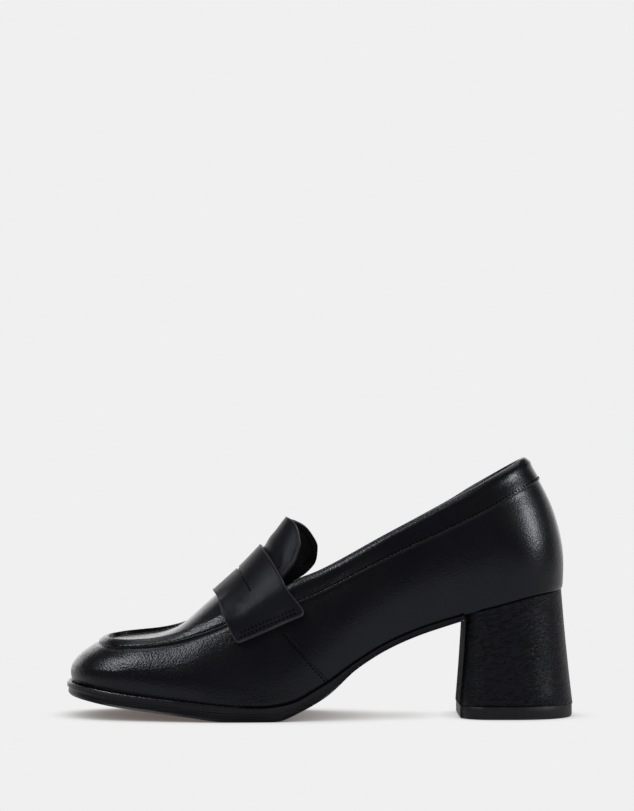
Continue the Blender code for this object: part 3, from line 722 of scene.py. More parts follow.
class NodeMaker:
    """Short names for building a material's nodes."""

    def __init__(self, name):
        self.material = bpy.data.materials.new(name)
        self.material.use_nodes = True
        self.tree = self.material.node_tree
        self.sockets = self.tree.nodes["Principled BSDF"].inputs
        self.coords = self.tree.nodes.new("ShaderNodeTexCoord").outputs["Object"]

    def node(self, kind, **values):
        made = self.tree.nodes.new(kind)
        for key, value in values.items():
            setattr(made, key, value)
        return made

    def link(self, start, end):
        self.tree.links.new(start, end)

    def put(self, value, socket):
        """Set a socket to a number, or link another node to it."""
        if isinstance(value, float):
            socket.default_value = value
        else:
            self.link(value, socket)

    def stretched(self, scale):
        """Give the coordinates with their own scale for each axis."""
        mapping = self.node("ShaderNodeMapping")
        mapping.inputs["Scale"].default_value = scale
        self.link(self.coords, mapping.inputs["Vector"])
        return mapping.outputs["Vector"]

    def slanted(self, scale, angle):
        """Give the coordinates turned about the shoe's cross axis, and then scaled."""
        turned = self.node("ShaderNodeVectorRotate", rotation_type="Y_AXIS")
        turned.inputs["Angle"].default_value = math.radians(angle)
        self.link(self.coords, turned.inputs["Vector"])
        scaled = self.node("ShaderNodeVectorMath", operation="MULTIPLY")
        self.link(turned.outputs["Vector"], scaled.inputs[0])
        scaled.inputs[1].default_value = scale
        return scaled.outputs["Vector"]

    def along(self):
        """Give the distance along the shoe, from its middle to the heel."""
        split = self.node("ShaderNodeSeparateXYZ")
        self.link(self.coords, split.inputs["Vector"])
        return split.outputs["X"]

    def attribute(self, name):
        return self.node("ShaderNodeAttribute", attribute_name=name).outputs["Fac"]

    def noise(self, scale, detail=2.0, vector=None):
        made = self.node("ShaderNodeTexNoise")
        made.inputs["Scale"].default_value = scale
        made.inputs["Detail"].default_value = detail
        self.link(vector or self.coords, made.inputs["Vector"])
        return made.outputs["Fac"]

    def cells(self, scale):
        made = self.node("ShaderNodeTexVoronoi")
        made.inputs["Scale"].default_value = scale
        self.link(self.coords, made.inputs["Vector"])
        return made.outputs["Distance"]

    def math(self, operation, *values):
        made = self.node("ShaderNodeMath", operation=operation)
        for value, socket in zip(values, made.inputs):
            self.put(value, socket)
        return made.outputs[0]

    def ranged(self, value, start, end, low, high):
        """Turn the range from start to end softly into the one from low to high."""
        made = self.node("ShaderNodeMapRange", interpolation_type="SMOOTHSTEP")
        made.inputs["From Min"].default_value = start
        made.inputs["From Max"].default_value = end
        made.inputs["To Min"].default_value = low
        made.inputs["To Max"].default_value = high
        self.link(value, made.inputs["Value"])
        return made.outputs["Result"]

    def colours(self, share, low, high):
        """Mix two colours by a share; the low one may be another node's."""
        made = self.node("ShaderNodeMix", data_type="RGBA")
        self.link(share, made.inputs[0])
        if isinstance(low, tuple):
            made.inputs[6].default_value = (*low, 1.0)
        else:
            self.link(low, made.inputs[6])
        made.inputs[7].default_value = (*high, 1.0)
        return made.outputs[2]

    def tones(self, share, colour, low, high):
        """Let the surface vary between two tones of a colour."""
        mixed = self.colours(share, shade(colour, low), shade(colour, high))
        self.link(mixed, self.sockets["Base Color"])

    def roughen(self, share, low, high):
        """Let the surface vary between two roughnesses."""
        self.link(self.ranged(share, NOISE_LOW, NOISE_HIGH, low, high), self.sockets["Roughness"])

    def polish(self, gloss):
        """Set how strongly the surface reflects."""
        self.sockets["Specular IOR Level"].default_value = gloss

    def relief(self, height, depth, strength=1.0):
        """Raise the surface by a height on top of the relief that it has so far."""
        normal = self.sockets["Normal"]
        made = self.node("ShaderNodeBump")
        made.inputs["Distance"].default_value = depth
        self.put(strength, made.inputs["Strength"])
        self.link(height, made.inputs["Height"])
        if normal.links:
            self.link(normal.links[0].from_socket, made.inputs["Normal"])
        self.link(made.outputs["Normal"], normal)


def shade(colour, factor):
    """Make a colour lighter or darker."""
    return tuple(min(channel * factor, 1.0) for channel in colour)


def raise_grain(maker, look, size, depth):
    """Raise a fine pebble grain with soft unevenness under it, calmer toward the heel."""
    scale = 1.0 / (look.grain_size * size)
    height = look.grain_depth * depth
    strength = maker.ranged(maker.along(), GRAIN_FULL_X * MM, GRAIN_CALM_X * MM, 1.0, GRAIN_CALM)
    maker.relief(maker.noise(scale * UNEVEN_SCALE), height * UNEVEN_DEPTH)
    maker.relief(maker.cells(scale), height, strength)
    maker.relief(maker.noise(scale * PORE_SCALE), height * PORE_DEPTH, strength)


def leather(name, look, finish=PLAIN_FINISH, size=1.0, depth=1.0):
    """Make satin black leather; its gloss varies softly over the surface."""
    maker = NodeMaker(name)
    maker.tones(maker.noise(scale=60.0, detail=3.0), look.colour, 0.75 * finish.tone, 1.25 * finish.tone)
    roughness = look.roughness + finish.dull
    maker.roughen(maker.noise(scale=35.0, detail=4.0), roughness - 0.03, roughness + 0.04)
    maker.polish(look.gloss * finish.sheen)
    maker.sockets["Specular Tint"].default_value = (*look.gloss_tint, 1.0)
    raise_grain(maker, look, size, depth)
    return maker


def edge_highlight_leather(name, look, finish):
    """Make leather with a painted highlight along a folded edge."""
    maker = leather(name, look, finish, size=0.85, depth=0.8)
    colour = maker.sockets["Base Color"]
    # Painted highlight: the base colour turns light grey near a folded edge
    edge_highlight = shade((max(look.colour),) * 3, EDGE_HIGHLIGHT_TONE)
    maker.link(maker.colours(maker.attribute("folded_edge"), colour.links[0].from_socket, edge_highlight), colour)
    return maker.material


def upper_material(look):
    """Add fine wrinkles across the collar's band to the leather."""
    maker = leather("upper_leather_satin", look)
    drop = maker.attribute("collar_drop")
    across = maker.node("ShaderNodeCombineXYZ")
    maker.link(maker.math("MULTIPLY", maker.attribute("collar_run"), 1.0 / WRINKLE_PITCH), across.inputs["X"])
    maker.link(maker.math("MULTIPLY", drop, 1.0 / WRINKLE_LENGTH), across.inputs["Y"])
    wrinkles = maker.noise(1.0 / MM, vector=across.outputs["Vector"])
    band = maker.ranged(drop, WRINKLE_END * COLLAR_BAND_DEPTH * MM, COLLAR_BAND_DEPTH * MM, 1.0, 0.0)
    maker.relief(maker.math("MULTIPLY", wrinkles, band), WRINKLE_DEPTH * MM)
    return maker.material


def lining_material(look):
    """Make the soft dull black lining."""
    maker = NodeMaker("lining_black")
    tone = maker.noise(scale=400.0, detail=3.0)
    maker.tones(tone, look.lining_colour, 0.7, 1.3)
    maker.roughen(tone, 0.55, 0.72)
    maker.polish(0.15)
    maker.relief(maker.noise(scale=2500.0), 0.05 * MM)
    return maker.material


def thread_material(sizes):
    """Make black waxed thread with a fine twist."""
    maker = NodeMaker("thread_black")
    twist = maker.noise(scale=3000.0, detail=1.0)
    maker.tones(twist, sizes.thread_colour, 0.6, 1.4)
    maker.sockets["Roughness"].default_value = 0.7
    maker.polish(0.02)
    maker.relief(twist, 0.08 * MM)
    return maker.material


def hole_shade_material():
    """Make the painted shade of a needle hole: a flat near-black that reflects nothing."""
    maker = NodeMaker("needle_hole_dark")
    # Painted shade: near-black with no reflection, where the inside of each hole would be shaded
    maker.tones(maker.noise(scale=2000.0), HOLE_SHADE_COLOUR, 0.4, 1.6)
    maker.sockets["Roughness"].default_value = 1.0
    maker.polish(0.0)
    return maker.material


def sole_material(look):
    """Make the sole's black dressed edge, with faint level layers."""
    maker = NodeMaker("sole_edge_black")
    layers = maker.noise(scale=1.0, detail=3.0, vector=maker.stretched((60.0, 60.0, 900.0)))
    maker.tones(layers, look.edge_colour, 0.7, 1.3)
    maker.roughen(layers, 0.3, 0.4)
    maker.polish(look.edge_gloss)
    maker.relief(layers, 0.02 * MM)
    return maker.material


def ridge_material(look):
    """Make the burnished top edge of the sole."""
    maker = NodeMaker("sole_ridge_burnished")
    tone = maker.noise(scale=300.0)
    maker.tones(tone, look.edge_colour, 0.8, 1.2)
    maker.roughen(tone, 0.2, 0.3)
    maker.polish(look.ridge_gloss)
    return maker.material


def underside_material(look):
    """Make the sole's tan leather underside, a little rubbed."""
    maker = NodeMaker("sole_underside_tan")
    fibres = maker.noise(scale=1.0, detail=4.0, vector=maker.stretched((160.0, 420.0, 420.0)))
    maker.tones(fibres, look.underside_colour, 0.75, 1.1)
    maker.roughen(fibres, 0.45, 0.65)
    maker.relief(maker.noise(scale=1400.0, detail=3.0), 0.08 * MM)
    return maker.material


def heel_material(name, look, finish):
    """Make the heel's cover, with fine creases that slant up towards the back; painted shade darkens the
    crease lines and the leather between them is painted lighter.
    """
    maker = leather(name, look, finish)
    creases = maker.noise(scale=1.0, vector=maker.slanted(HEEL_CREASE_SCALE, HEEL_CREASE_SLANT))
    aside = maker.math("ABSOLUTE", maker.math("SUBTRACT", creases, 0.5))
    lines = maker.ranged(aside, 0.0, HEEL_CREASE_WIDTH, 0.0, 1.0)
    # Painted shade: darker along the crease lines, lighter between them
    maker.tones(lines, look.colour, 0.3, 1.4)
    maker.relief(lines, HEEL_CREASE_DEPTH * MM)
    return maker.material


def lift_material(look):
    """Make the dull rubber of the top lift."""
    maker = NodeMaker("lift_rubber_matt")
    specks = maker.noise(scale=900.0, detail=3.0)
    maker.tones(specks, look.lift_colour, 0.75, 1.25)
    maker.roughen(specks, 0.5, 0.66)
    maker.polish(look.edge_gloss)
    maker.relief(specks, 0.06 * MM)
    return maker.material


def lit_material(name):
    """Start a surface that only glows."""
    maker = NodeMaker(name)
    maker.sockets["Base Color"].default_value = (0.0, 0.0, 0.0, 1.0)
    maker.polish(0.0)
    return maker


def floor_material(studio):
    """Make the floor as evenly glowing paper, with a warm shadow painted into its glow close under the shoe.
    """
    maker = lit_material("pale_paper")
    # Painted shadow: the glow turns to the shadow colour where the shoe is close above the floor
    nearby = maker.node("ShaderNodeAmbientOcclusion", samples=16)
    nearby.inputs["Distance"].default_value = studio.shadow_reach
    open_share = maker.math("MINIMUM", maker.math("MULTIPLY", nearby.outputs["AO"], SHADOW_CLEARING), 1.0)
    paper = maker.colours(open_share, tuple(studio.shadow_colour), (studio.background,) * 3)
    maker.link(paper, maker.sockets["Emission Color"])
    maker.sockets["Emission Strength"].default_value = 1.0
    return maker.material


def backdrop_material(studio):
    """Make the evenly lit card behind the floor."""
    maker = lit_material("lit_card")
    maker.sockets["Emission Color"].default_value = (1.0, 1.0, 1.0, 1.0)
    maker.sockets["Emission Strength"].default_value = studio.background
    return maker.material


def mark_inside(piece, seed, angle):
    """Line the faces that join up smoothly with the one nearest to a spot."""
    spot = Vector(seed) * MM
    centres = [(face.center - spot).length for face in piece.data.polygons]
    select_only(piece)
    bpy.ops.object.mode_set(mode="EDIT")
    bpy.ops.mesh.select_mode(type="FACE")
    bpy.ops.mesh.select_all(action="DESELECT")
    bpy.ops.object.mode_set(mode="OBJECT")
    piece.data.polygons[int(np.argmin(centres))].select = True
    bpy.ops.object.mode_set(mode="EDIT")
    bpy.ops.mesh.faces_select_linked_flat(sharpness=math.radians(angle))
    bpy.ops.object.mode_set(mode="OBJECT")
    for face in piece.data.polygons:
        if face.select:
            face.material_index = 1


def mark_facing(piece, direction, least):
    """Give the second material to the faces that look one way."""
    for face in piece.data.polygons:
        if face.normal.dot(Vector(direction)) > least:
            face.material_index = 1


def roll_collar(piece):
    """Swell the collar's top edge into a soft roll."""
    distance, _, offset = line_measures(corner_places(piece), collar_line(0.0))
    depth = COLLAR_ROLL_DEPTH * MM
    swell = COLLAR_ROLL * MM * np.exp(-((distance - depth) / (depth * COLLAR_ROLL_SPREAD)) ** 2)
    below = offset[:, 2] < 0.0
    outside = corner_normals(piece)[:, 1] * corner_places(piece)[:, 1] > COLLAR_OUTSIDE * MM
    move_out(piece, np.where(below & outside, swell, 0.0))


def make_upper(look):
    """Smooth the upper's solid, roll its collar, sink its rim's seam and give it leather and lining."""
    piece = copy_of_node("upper", "upper_finished", upper_material(look), lining_material(look))
    mark_inside(piece, UPPER_INSIDE, UPPER_INSIDE_TURN)
    for crease in UPPER_CREASES:
        crease_sharp_edges(piece, crease)
    soften(piece, 2)
    drop, run, _ = line_measures(corner_places(piece), collar_line(0.0))
    set_attribute(piece, "collar_drop", drop)
    set_attribute(piece, "collar_run", run)
    roll_collar(piece)
    distance, _, _ = line_measures(corner_places(piece), rim_line())
    move_out(piece, -RIM_GROOVE_DEPTH * MM * np.exp(-(distance / (RIM_GROOVE_WIDTH * MM)) ** 2))
    smooth_shade(piece)
    put_in_place(piece, "upper_leather", "upper")


def settle_strap(piece):
    """Let the strap sink a little where it crosses the instep."""
    places = corner_places(piece)
    sunk = np.clip((places[:, 2] / MM - STRAP_SETTLE_LOW) / (STRAP_SETTLE_HIGH - STRAP_SETTLE_LOW), 0.0, 1.0)
    places[:, 2] += -STRAP_SETTLE * MM * sunk * sunk * (3.0 - 2.0 * sunk)
    place_corners(piece, places)


def make_strap(look):
    """Finish the saddle strap with folded edges and soft folds; the edges of its slit stay cut."""
    cover = edge_highlight_leather("strap_leather_satin", look, STRAP_FINISH)
    piece = copy_of_node("saddle_strap", "saddle_strap_finished", cover)
    border = sharp_border(piece)
    in_slit = (np.abs(border[:, 0] / MM - SLIT_X) < SLIT_HALF_SPAN) & (border[:, 2] / MM > SLIT_LOW_Z)
    round_sharp_edges(piece, STRAP_EDGE_ROUND)
    soften(piece, 3)
    roll_edge(piece, border[~in_slit], STRAP_EDGE_RISE)
    settle_strap(piece)
    move_out(piece, fold_amounts(corner_places(piece), STRAP_FOLDS))
    smooth_shade(piece)
    put_in_place(piece, "strap_leather", "saddle_strap")


def make_tongue(look):
    """Finish the tongue with a folded edge, its swelling behind the strap and its lining."""
    cover = edge_highlight_leather("tongue_leather_satin", look, TONGUE_FINISH)
    piece = copy_of_node("tongue", "tongue_finished", cover, lining_material(look))
    mark_inside(piece, TONGUE_INSIDE, TONGUE_INSIDE_TURN)
    border = sharp_border(piece)
    round_sharp_edges(piece, TONGUE_EDGE_ROUND)
    soften(piece, 2, rounds=0)
    roll_edge(piece, border, TONGUE_EDGE_RISE)
    move_out(piece, fold_amounts(corner_places(piece), TONGUE_FOLDS))
    smooth_shade(piece)
    put_in_place(piece, "tongue_leather", "tongue")


def make_outsole(look):
    """Finish the outsole with its dressed edge and its tan underside."""
    piece = copy_of_node("outsole", "outsole_finished", sole_material(look), underside_material(look))
    mark_facing(piece, (0.0, 0.0, -1.0), UNDERSIDE_FACING)
    crease_sharp_edges(piece, OUTSOLE_CREASE)
    soften(piece, 3)
    smooth_shade(piece)
    put_in_place(piece, "outsole", "outsole")


def make_insole(look):
    """Finish the insole with its sock."""
    piece = copy_of_node("insole", "insole_finished", lining_material(look))
    crease_sharp_edges(piece, INSOLE_CREASE)
    soften(piece, 2)
    smooth_shade(piece)
    put_in_place(piece, "insole_lining", "insole")


def make_heel(look):
    """Finish the heel with its creased cover, duller on the breast."""
    cover = heel_material("heel_leather_creased", look, HEEL_FINISH)
    breast = heel_material("heel_breast_dull", look, BREAST_FINISH)
    piece = copy_of_node("heel_block", "heel_finished", cover, breast)
    mark_facing(piece, (-1.0, 0.0, 0.0), BREAST_FACING)
    crease_sharp_edges(piece, HEEL_CREASE)
    soften(piece, 3)
    smooth_shade(piece)
    put_in_place(piece, "heel_leather", "heel_block")


def make_lift(look):
    """Finish the top lift under the heel."""
    piece = copy_of_node("top_lift", "top_lift_finished", lift_material(look))
    crease_sharp_edges(piece, LIFT_CREASE)
    soften(piece, 2)
    smooth_shade(piece)
    put_in_place(piece, "lift_rubber", "top_lift")


def even_line(line, pitch):
    """Space points evenly along a line."""
    line = np.asarray(line)
    steps = np.linalg.norm(np.diff(line, axis=0), axis=1)
    run = np.concatenate(([0.0], np.cumsum(steps)))
    count = max(int(round(run[-1] / pitch)), 1)
    marks = np.linspace(0.0, run[-1], count + 1)
    return np.column_stack([np.interp(marks, run, line[:, axis]) for axis in range(3)])


def side_line(start, end, side, surface):
    """Lay a straight line of the side view on the side of a surface."""
    spots = []
    for share in np.linspace(0.0, 1.0, SIDE_LINE_POINTS):
        x, z = blend(np.array(start), np.array(end), share) * MM
        hit = surface.ray_cast(Vector((x, side * WELL_OUTSIDE, z)), Vector((0.0, -side, 0.0)))
        if hit[0] is not None:
            spots.append(np.array(hit[0]))
    return spots


def bead(name, line, radius, surface, material, slot, taper=None):
    """Lay a thin round bead along a line on a surface."""
    spots = even_line(line, BEAD_PITCH * MM)
    data = bpy.data.curves.new(name, "CURVE")
    data.dimensions = "3D"
    data.bevel_depth = radius * MM
    data.bevel_resolution = 2
    data.use_fill_caps = True
    spline = data.splines.new("POLY")
    spline.points.add(len(spots) - 1)
    for i, (point, spot) in enumerate(zip(spline.points, spots)):
        place = surface.find_nearest(Vector(spot))[0]
        point.co = (*place, 1.0)
        point.radius = 1.0 if taper is None else taper(i / (len(spots) - 1))
    select_only(new_object(name, data))
    bpy.ops.object.convert(target="MESH")
    piece = bpy.context.object
    piece.data.materials.clear()
    piece.data.materials.append(material)
    bpy.ops.object.shade_smooth()
    put_in_place(piece, slot)


def rim_bead_line(side):
    """Follow the rim just inside its outer seam, as far as the strap."""
    rows = [station for station in last_stations() if RIM_BEAD_START_X < station.top_x < RIM_SEAM_END_X]
    inset = (0.0, -side * RIM_BEAD_INSET, RIM_BEAD_LIFT)
    return in_frame([top_point(side, station) + inset for station in rows])


def make_beads(look):
    """Lay the bead under the collar band, the beads of the rim and the cut edges of the vamp seams."""
    upper = surface_tree("upper_finished")
    cover = leather("bead_leather_satin", look).material
    cut_edge = leather("cut_edge_dull", look, CUT_EDGE_FINISH).material
    line = collar_line(COLLAR_BAND_DEPTH - COLLAR_BEAD_RISE)
    bead("collar_bead", line, COLLAR_BEAD_RADIUS, upper, cover, "upper_leather")
    for side, name in SIDES:
        bead("rim_bead_" + name, rim_bead_line(side), RIM_BEAD_RADIUS, upper, cover, "upper_leather",
             lambda share: min(share / RIM_BEAD_TAPER, 1.0) ** RIM_BEAD_SWELL)
    for side, name in SIDES:
        line = side_line(VAMP_SEAM_TOP, VAMP_SEAM_FOOT, side, upper)
        bead("vamp_edge_" + name, line, VAMP_EDGE_RADIUS, upper, cut_edge, "upper_leather")


def make_sole_ridge(look):
    """Lay a bright thin ridge along the sole's top edge, round the toe."""
    rows = [station for station in last_stations() if station.foot_x < SOLE_RIDGE_END_X]
    lines = {}
    for side, _ in SIDES:
        lines[side] = [foot_point(side, station) + outward(side, station) * SOLE_RIDGE_OUT
                       - (0.0, 0.0, SOLE_RIDGE_DROP) for station in rows]
    line = in_frame(lines[LATERAL][::-1] + lines[MEDIAL][1:])
    sole = surface_tree("outsole_finished")
    bead("sole_ridge", line, SOLE_RIDGE_RADIUS, sole, ridge_material(look), "outsole",
         lambda share: min(min(share, 1.0 - share) / SOLE_RIDGE_TAPER, 1.0))


def over_apron(side, x, share, lift):
    """Give a spot above the apron; share runs from 0 on the ridge of the instep to 1 at the strap's end."""
    reach = 1.0 - share / STRAP_TOP_SHARE
    reach_aside = 1.0 - (share + NORMAL_SHARE) / STRAP_TOP_SHARE
    base = apron_point(side, x, reach)
    ahead = apron_point(side, x + NORMAL_STEP, reach)
    aside = apron_point(side, x, reach_aside)
    normal = np.cross(ahead - base, aside - base)
    normal = normal / np.linalg.norm(normal)
    return in_frame(base + normal * math.copysign(lift, normal[2]))


def make_slit_backing(look):
    """Back the strap's slit with a narrow ribbed strip, so that no light shows through it."""
    corners, faces = [], []
    reaches = np.linspace(-SLIT_REACH, SLIT_REACH, SLIT_SECTIONS)
    for reach in reaches:
        side = LATERAL if reach < 0.0 else MEDIAL
        share = abs(float(reach))
        front, rear = STRAP_AT["front"](share), STRAP_AT["rear"](share)
        middle = blend(front, rear, SLIT_MIDDLE)
        rib = blend(SLIT_WIDTH, SLIT_END_WIDTH, (share / SLIT_REACH) ** 2) * (rear - front) / 4.0
        half = ((SLIT_BASE_HALF, SLIT_BASE_LOW), (SLIT_BASE_HALF, SLIT_BASE_HIGH), (rib, SLIT_RIB_FOOT),
                (rib, SLIT_RIB_HEIGHT))
        section = [(-step, lift) for step, lift in half] + list(half[::-1])
        corners.extend(over_apron(side, middle + step, share, lift) for step, lift in section)
    count = len(section)
    for row in range(len(reaches) - 1):
        for i in range(count):
            a = row * count + i
            b = row * count + (i + 1) % count
            faces.append((a, b, b + count, a + count))
    last = (len(reaches) - 1) * count
    faces.append(tuple(range(count - 1, -1, -1)))
    faces.append(tuple(range(last, last + count)))
    mesh = bpy.data.meshes.new("slit_backing")
    mesh.from_pydata([tuple(corner) for corner in corners], [], faces)
    mesh.materials.append(lining_material(look))
    piece = new_object("slit_backing", mesh)
    select_only(piece)
    bpy.ops.object.mode_set(mode="EDIT")
    bpy.ops.mesh.select_all(action="SELECT")
    bpy.ops.mesh.normals_make_consistent(inside=False)
    bpy.ops.object.mode_set(mode="OBJECT")
    smooth_shade(piece, SLIT_SHADE_ANGLE)
    put_in_place(piece, "strap_leather")


def bead_shape(length, width, height):
    """Model one stitch or hole as a small flattened bead and give its corners and faces."""
    bpy.ops.object.select_all(action="DESELECT")
    bpy.ops.mesh.primitive_uv_sphere_add(segments=8, ring_count=5, radius=0.5)
    shape = bpy.context.object
    bpy.ops.object.mode_set(mode="EDIT")
    bpy.ops.transform.rotate(value=math.pi / 2.0, orient_axis="Y", center_override=(0.0, 0.0, 0.0))
    bpy.ops.transform.resize(value=(length, width, height))
    bpy.ops.object.mode_set(mode="OBJECT")
    corners = corner_places(shape)
    faces = [tuple(face.vertices) for face in shape.data.polygons]
    mesh = shape.data
    bpy.data.objects.remove(shape)
    bpy.data.meshes.remove(mesh)
    return corners, faces


def lay_row(name, rows, surface, sizes, slot, shape, material, start_share):
    """Lay copies of a shape along rows on a surface, each at a share of the way to the next."""
    shape_corners, shape_faces = shape
    corners, faces = [], []
    for row in rows:
        spots = even_line(row, sizes.stitch_pitch)
        for start, end in zip(spots, spots[1:]):
            place, normal, _, _ = surface.find_nearest(Vector(blend(start, end, start_share)))
            normal = np.array(normal)
            along = end - start
            along = along - normal * np.dot(along, normal)
            along = along / np.linalg.norm(along)
            axes = np.array([along, np.cross(normal, along), normal])
            first = len(corners) * len(shape_corners)
            corners.append(np.array(place) + shape_corners @ axes)
            faces.extend(tuple(i + first for i in face) for face in shape_faces)
    mesh = bpy.data.meshes.new(name)
    mesh.from_pydata(np.vstack(corners).tolist(), [], faces)
    mesh.materials.append(material)
    mesh.shade_smooth()
    put_in_place(new_object(name, mesh), slot)


def sew(name, rows, surface, sizes, slot):
    """Lay rows of stitches on a surface."""
    shape = bead_shape(sizes.stitch_length, sizes.thread_width, sizes.thread_width * THREAD_FLATNESS)
    lay_row(name, rows, surface, sizes, slot, shape, thread_material(sizes), 0.5)


def prick(name, rows, surface, sizes, slot):
    """Lay rows of bare needle holes on a surface, as flat dark beads of painted shade."""
    shape = bead_shape(sizes.hole_width, sizes.hole_width, sizes.hole_width * HOLE_FLATNESS)
    lay_row(name, rows, surface, sizes, slot, shape, hole_shade_material(), 0.0)


def vamp_stitch_rows(upper):
    """Follow the vamp's seam a little ahead of it, on both sides."""
    top, foot = np.array(VAMP_SEAM_TOP), np.array(VAMP_SEAM_FOOT)
    along = (foot - top) / np.linalg.norm(foot - top)
    front = np.array([along[1], -along[0]]) * VAMP_STITCH_INSET
    return [side_line(top + front, foot + front, side, upper) for side, _ in SIDES]


def strap_hole_rows(strap):
    """Follow the strap's lower edge in two staggered rows, on both sides."""
    low_front, low_rear = np.array(STRAP_LOW_FRONT), np.array(STRAP_LOW_REAR)
    along = (low_rear - low_front) / np.linalg.norm(low_rear - low_front)
    up = np.array([-along[1], along[0]])
    rows = []
    for side, _ in SIDES:
        for inset in STRAP_STITCH_ROWS:
            stagger = STRAP_STITCH_STAGGER if inset > STRAP_STITCH_ROWS[0] else 0.0
            start = low_front + up * inset + along * (STRAP_STITCH_END + stagger)
            end = low_rear + up * inset - along * STRAP_STITCH_END
            rows.append(side_line(start, end, side, strap))
    return rows


def tongue_stitch_line():
    """Follow the tongue's edge up one side, over its end and down the other side."""
    lengths = np.linspace(TONGUE_STITCH_START, TONGUE_STITCH_LENGTH, TONGUE_STITCH_POINTS)
    spans = np.linspace(TONGUE_STITCH_SPAN, 1.0, TONGUE_STITCH_POINTS)
    halves = {}
    for side, _ in SIDES:
        halves[side] = [tongue_point(side, TONGUE_STITCH_SPAN, length) for length in lengths]
        halves[side] += [tongue_point(side, span, TONGUE_STITCH_LENGTH) for span in spans[1:]]
    return in_frame(halves[LATERAL] + halves[MEDIAL][-2::-1])


def make_stitches(sizes):
    """Sew collar, vamp and tongue, and prick the needle holes of the strap."""
    upper, strap = surface_tree("upper_finished"), surface_tree("saddle_strap_finished")
    collar = collar_line(COLLAR_BAND_DEPTH - COLLAR_STITCH_RISE)
    sew("collar_stitches", [collar], upper, sizes, "upper_leather")
    sew("vamp_stitches", vamp_stitch_rows(upper), upper, sizes, "upper_leather")
    prick("strap_stitches", strap_hole_rows(strap), strap, sizes, "strap_leather")
    sew("tongue_stitches", [tongue_stitch_line()], surface_tree("tongue_finished"), sizes, "tongue_leather")


def stage_sheet(name, material, width, depth, place, tilt):
    """Lay out a flat sheet of the studio, tilted about the cross axis."""
    bpy.ops.object.select_all(action="DESELECT")
    bpy.ops.mesh.primitive_grid_add(x_subdivisions=8, y_subdivisions=8, size=1.0)
    piece = bpy.context.object
    piece.name = name
    bpy.ops.object.mode_set(mode="EDIT")
    bpy.ops.mesh.select_all(action="SELECT")
    bpy.ops.transform.resize(value=(width, depth, 1.0))
    bpy.ops.transform.rotate(value=-math.radians(tilt), orient_axis="X", center_override=(0.0, 0.0, 0.0))
    bpy.ops.transform.translate(value=place)
    bpy.ops.object.mode_set(mode="OBJECT")
    piece.data.materials.append(material)


def hang_softbox(box, power):
    """Hang one soft light that shows only in reflections and never to the camera."""
    data = bpy.data.lights.new(box.name, "AREA")
    data.shape = "RECTANGLE"
    data.size = box.width
    data.size_y = box.height
    data.energy = power
    light = new_object(box.name, data)
    light.location = box.place
    light.rotation_euler = (Vector(box.aim) - Vector(box.place)).to_track_quat("-Z", "Y").to_euler()
    light.visible_diffuse = False
    light.visible_camera = False


def light_surroundings(studio):
    """Give the air its own brightness for the camera, for soft light and for reflections."""
    world = bpy.data.worlds.new("studio")
    bpy.context.scene.world = world
    world.use_nodes = True
    nodes, links = world.node_tree.nodes, world.node_tree.links
    sky = nodes["Background"]
    sky.inputs["Color"].default_value = (1.0, 1.0, 1.0, 1.0)
    ray = nodes.new("ShaderNodeLightPath")
    total = None
    for kind, level in (("Is Camera Ray", studio.background), ("Is Diffuse Ray", studio.fill),
                        ("Is Glossy Ray", studio.surround)):
        part = nodes.new("ShaderNodeMath")
        part.operation = "MULTIPLY_ADD"
        part.inputs[1].default_value = level
        part.inputs[2].default_value = 0.0
        links.new(ray.outputs[kind], part.inputs[0])
        if total is not None:
            links.new(total, part.inputs[2])
        total = part.outputs[0]
    links.new(total, sky.inputs["Strength"])


def set_up_camera():
    """Put the camera where the photo was taken."""
    data = bpy.data.cameras.new("photo_camera")
    data.lens = CAMERA_LENS
    data.clip_start, data.clip_end = CAMERA_CLIP
    camera = new_object("photo_camera", data)
    camera.location = CAMERA_PLACE
    camera.rotation_euler = (math.radians(CAMERA_PITCH), 0.0, 0.0)
    bpy.context.scene.camera = camera
    bpy.context.scene.view_settings.view_transform = "Standard"


def make_stage(studio):
    """Set up the pale floor, the card behind it, the soft lights, the surroundings and the camera."""
    stage_sheet("floor", floor_material(studio), STAGE_WIDTH, FLOOR_DEPTH, (0.0, FLOOR_MIDDLE_Y, 0.0), 0.0)
    card_middle = (0.0, CARD_Y, studio.card_height / 2.0 - CARD_SUNK)
    stage_sheet("backdrop", backdrop_material(studio), STAGE_WIDTH, studio.card_height, card_middle, 90.0)
    hang_softbox(OVERHEAD_SOFTBOX, studio.overhead_power)
    hang_softbox(LEFT_SOFTBOX, studio.left_power)
    hang_softbox(REAR_SOFTBOX, studio.rear_power)
    hang_softbox(RIGHT_SOFTBOX, studio.right_power)
    light_surroundings(studio)
    set_up_camera()


class LeatherLook(bpy.types.PropertyGroup):
    """Colours, grain and gloss of leather and lining"""
    colour: FloatVectorProperty(name="Leather", description="Colour of the black leather", subtype="COLOR",
                                size=3, min=0.0, max=1.0, default=(0.0044, 0.0046, 0.0066))
    lining_colour: FloatVectorProperty(name="Lining", description="Colour of the lining", subtype="COLOR",
                                       size=3, min=0.0, max=1.0, default=(0.008, 0.009, 0.011))
    roughness: FloatProperty(name="Roughness", description="How dull the leather is", subtype="FACTOR",
                             min=0.0, max=1.0, default=0.29)
    grain_size: FloatProperty(name="Grain size", description="Width of one pebble of the grain",
                              unit="LENGTH", min=0.0001, max=0.01, default=0.00095)
    grain_depth: FloatProperty(name="Grain depth", description="Height of the grain", unit="LENGTH",
                               min=0.0, max=0.001, default=0.00008)
    gloss_tint: FloatVectorProperty(name="Gloss tint", description="Colour of the leather's reflections",
                                    subtype="COLOR", size=3, min=0.0, max=1.0, default=(0.9, 0.93, 1.0))
    gloss: FloatProperty(name="Gloss", description="How strongly the leather reflects", subtype="FACTOR",
                         min=0.0, max=1.0, default=0.18)


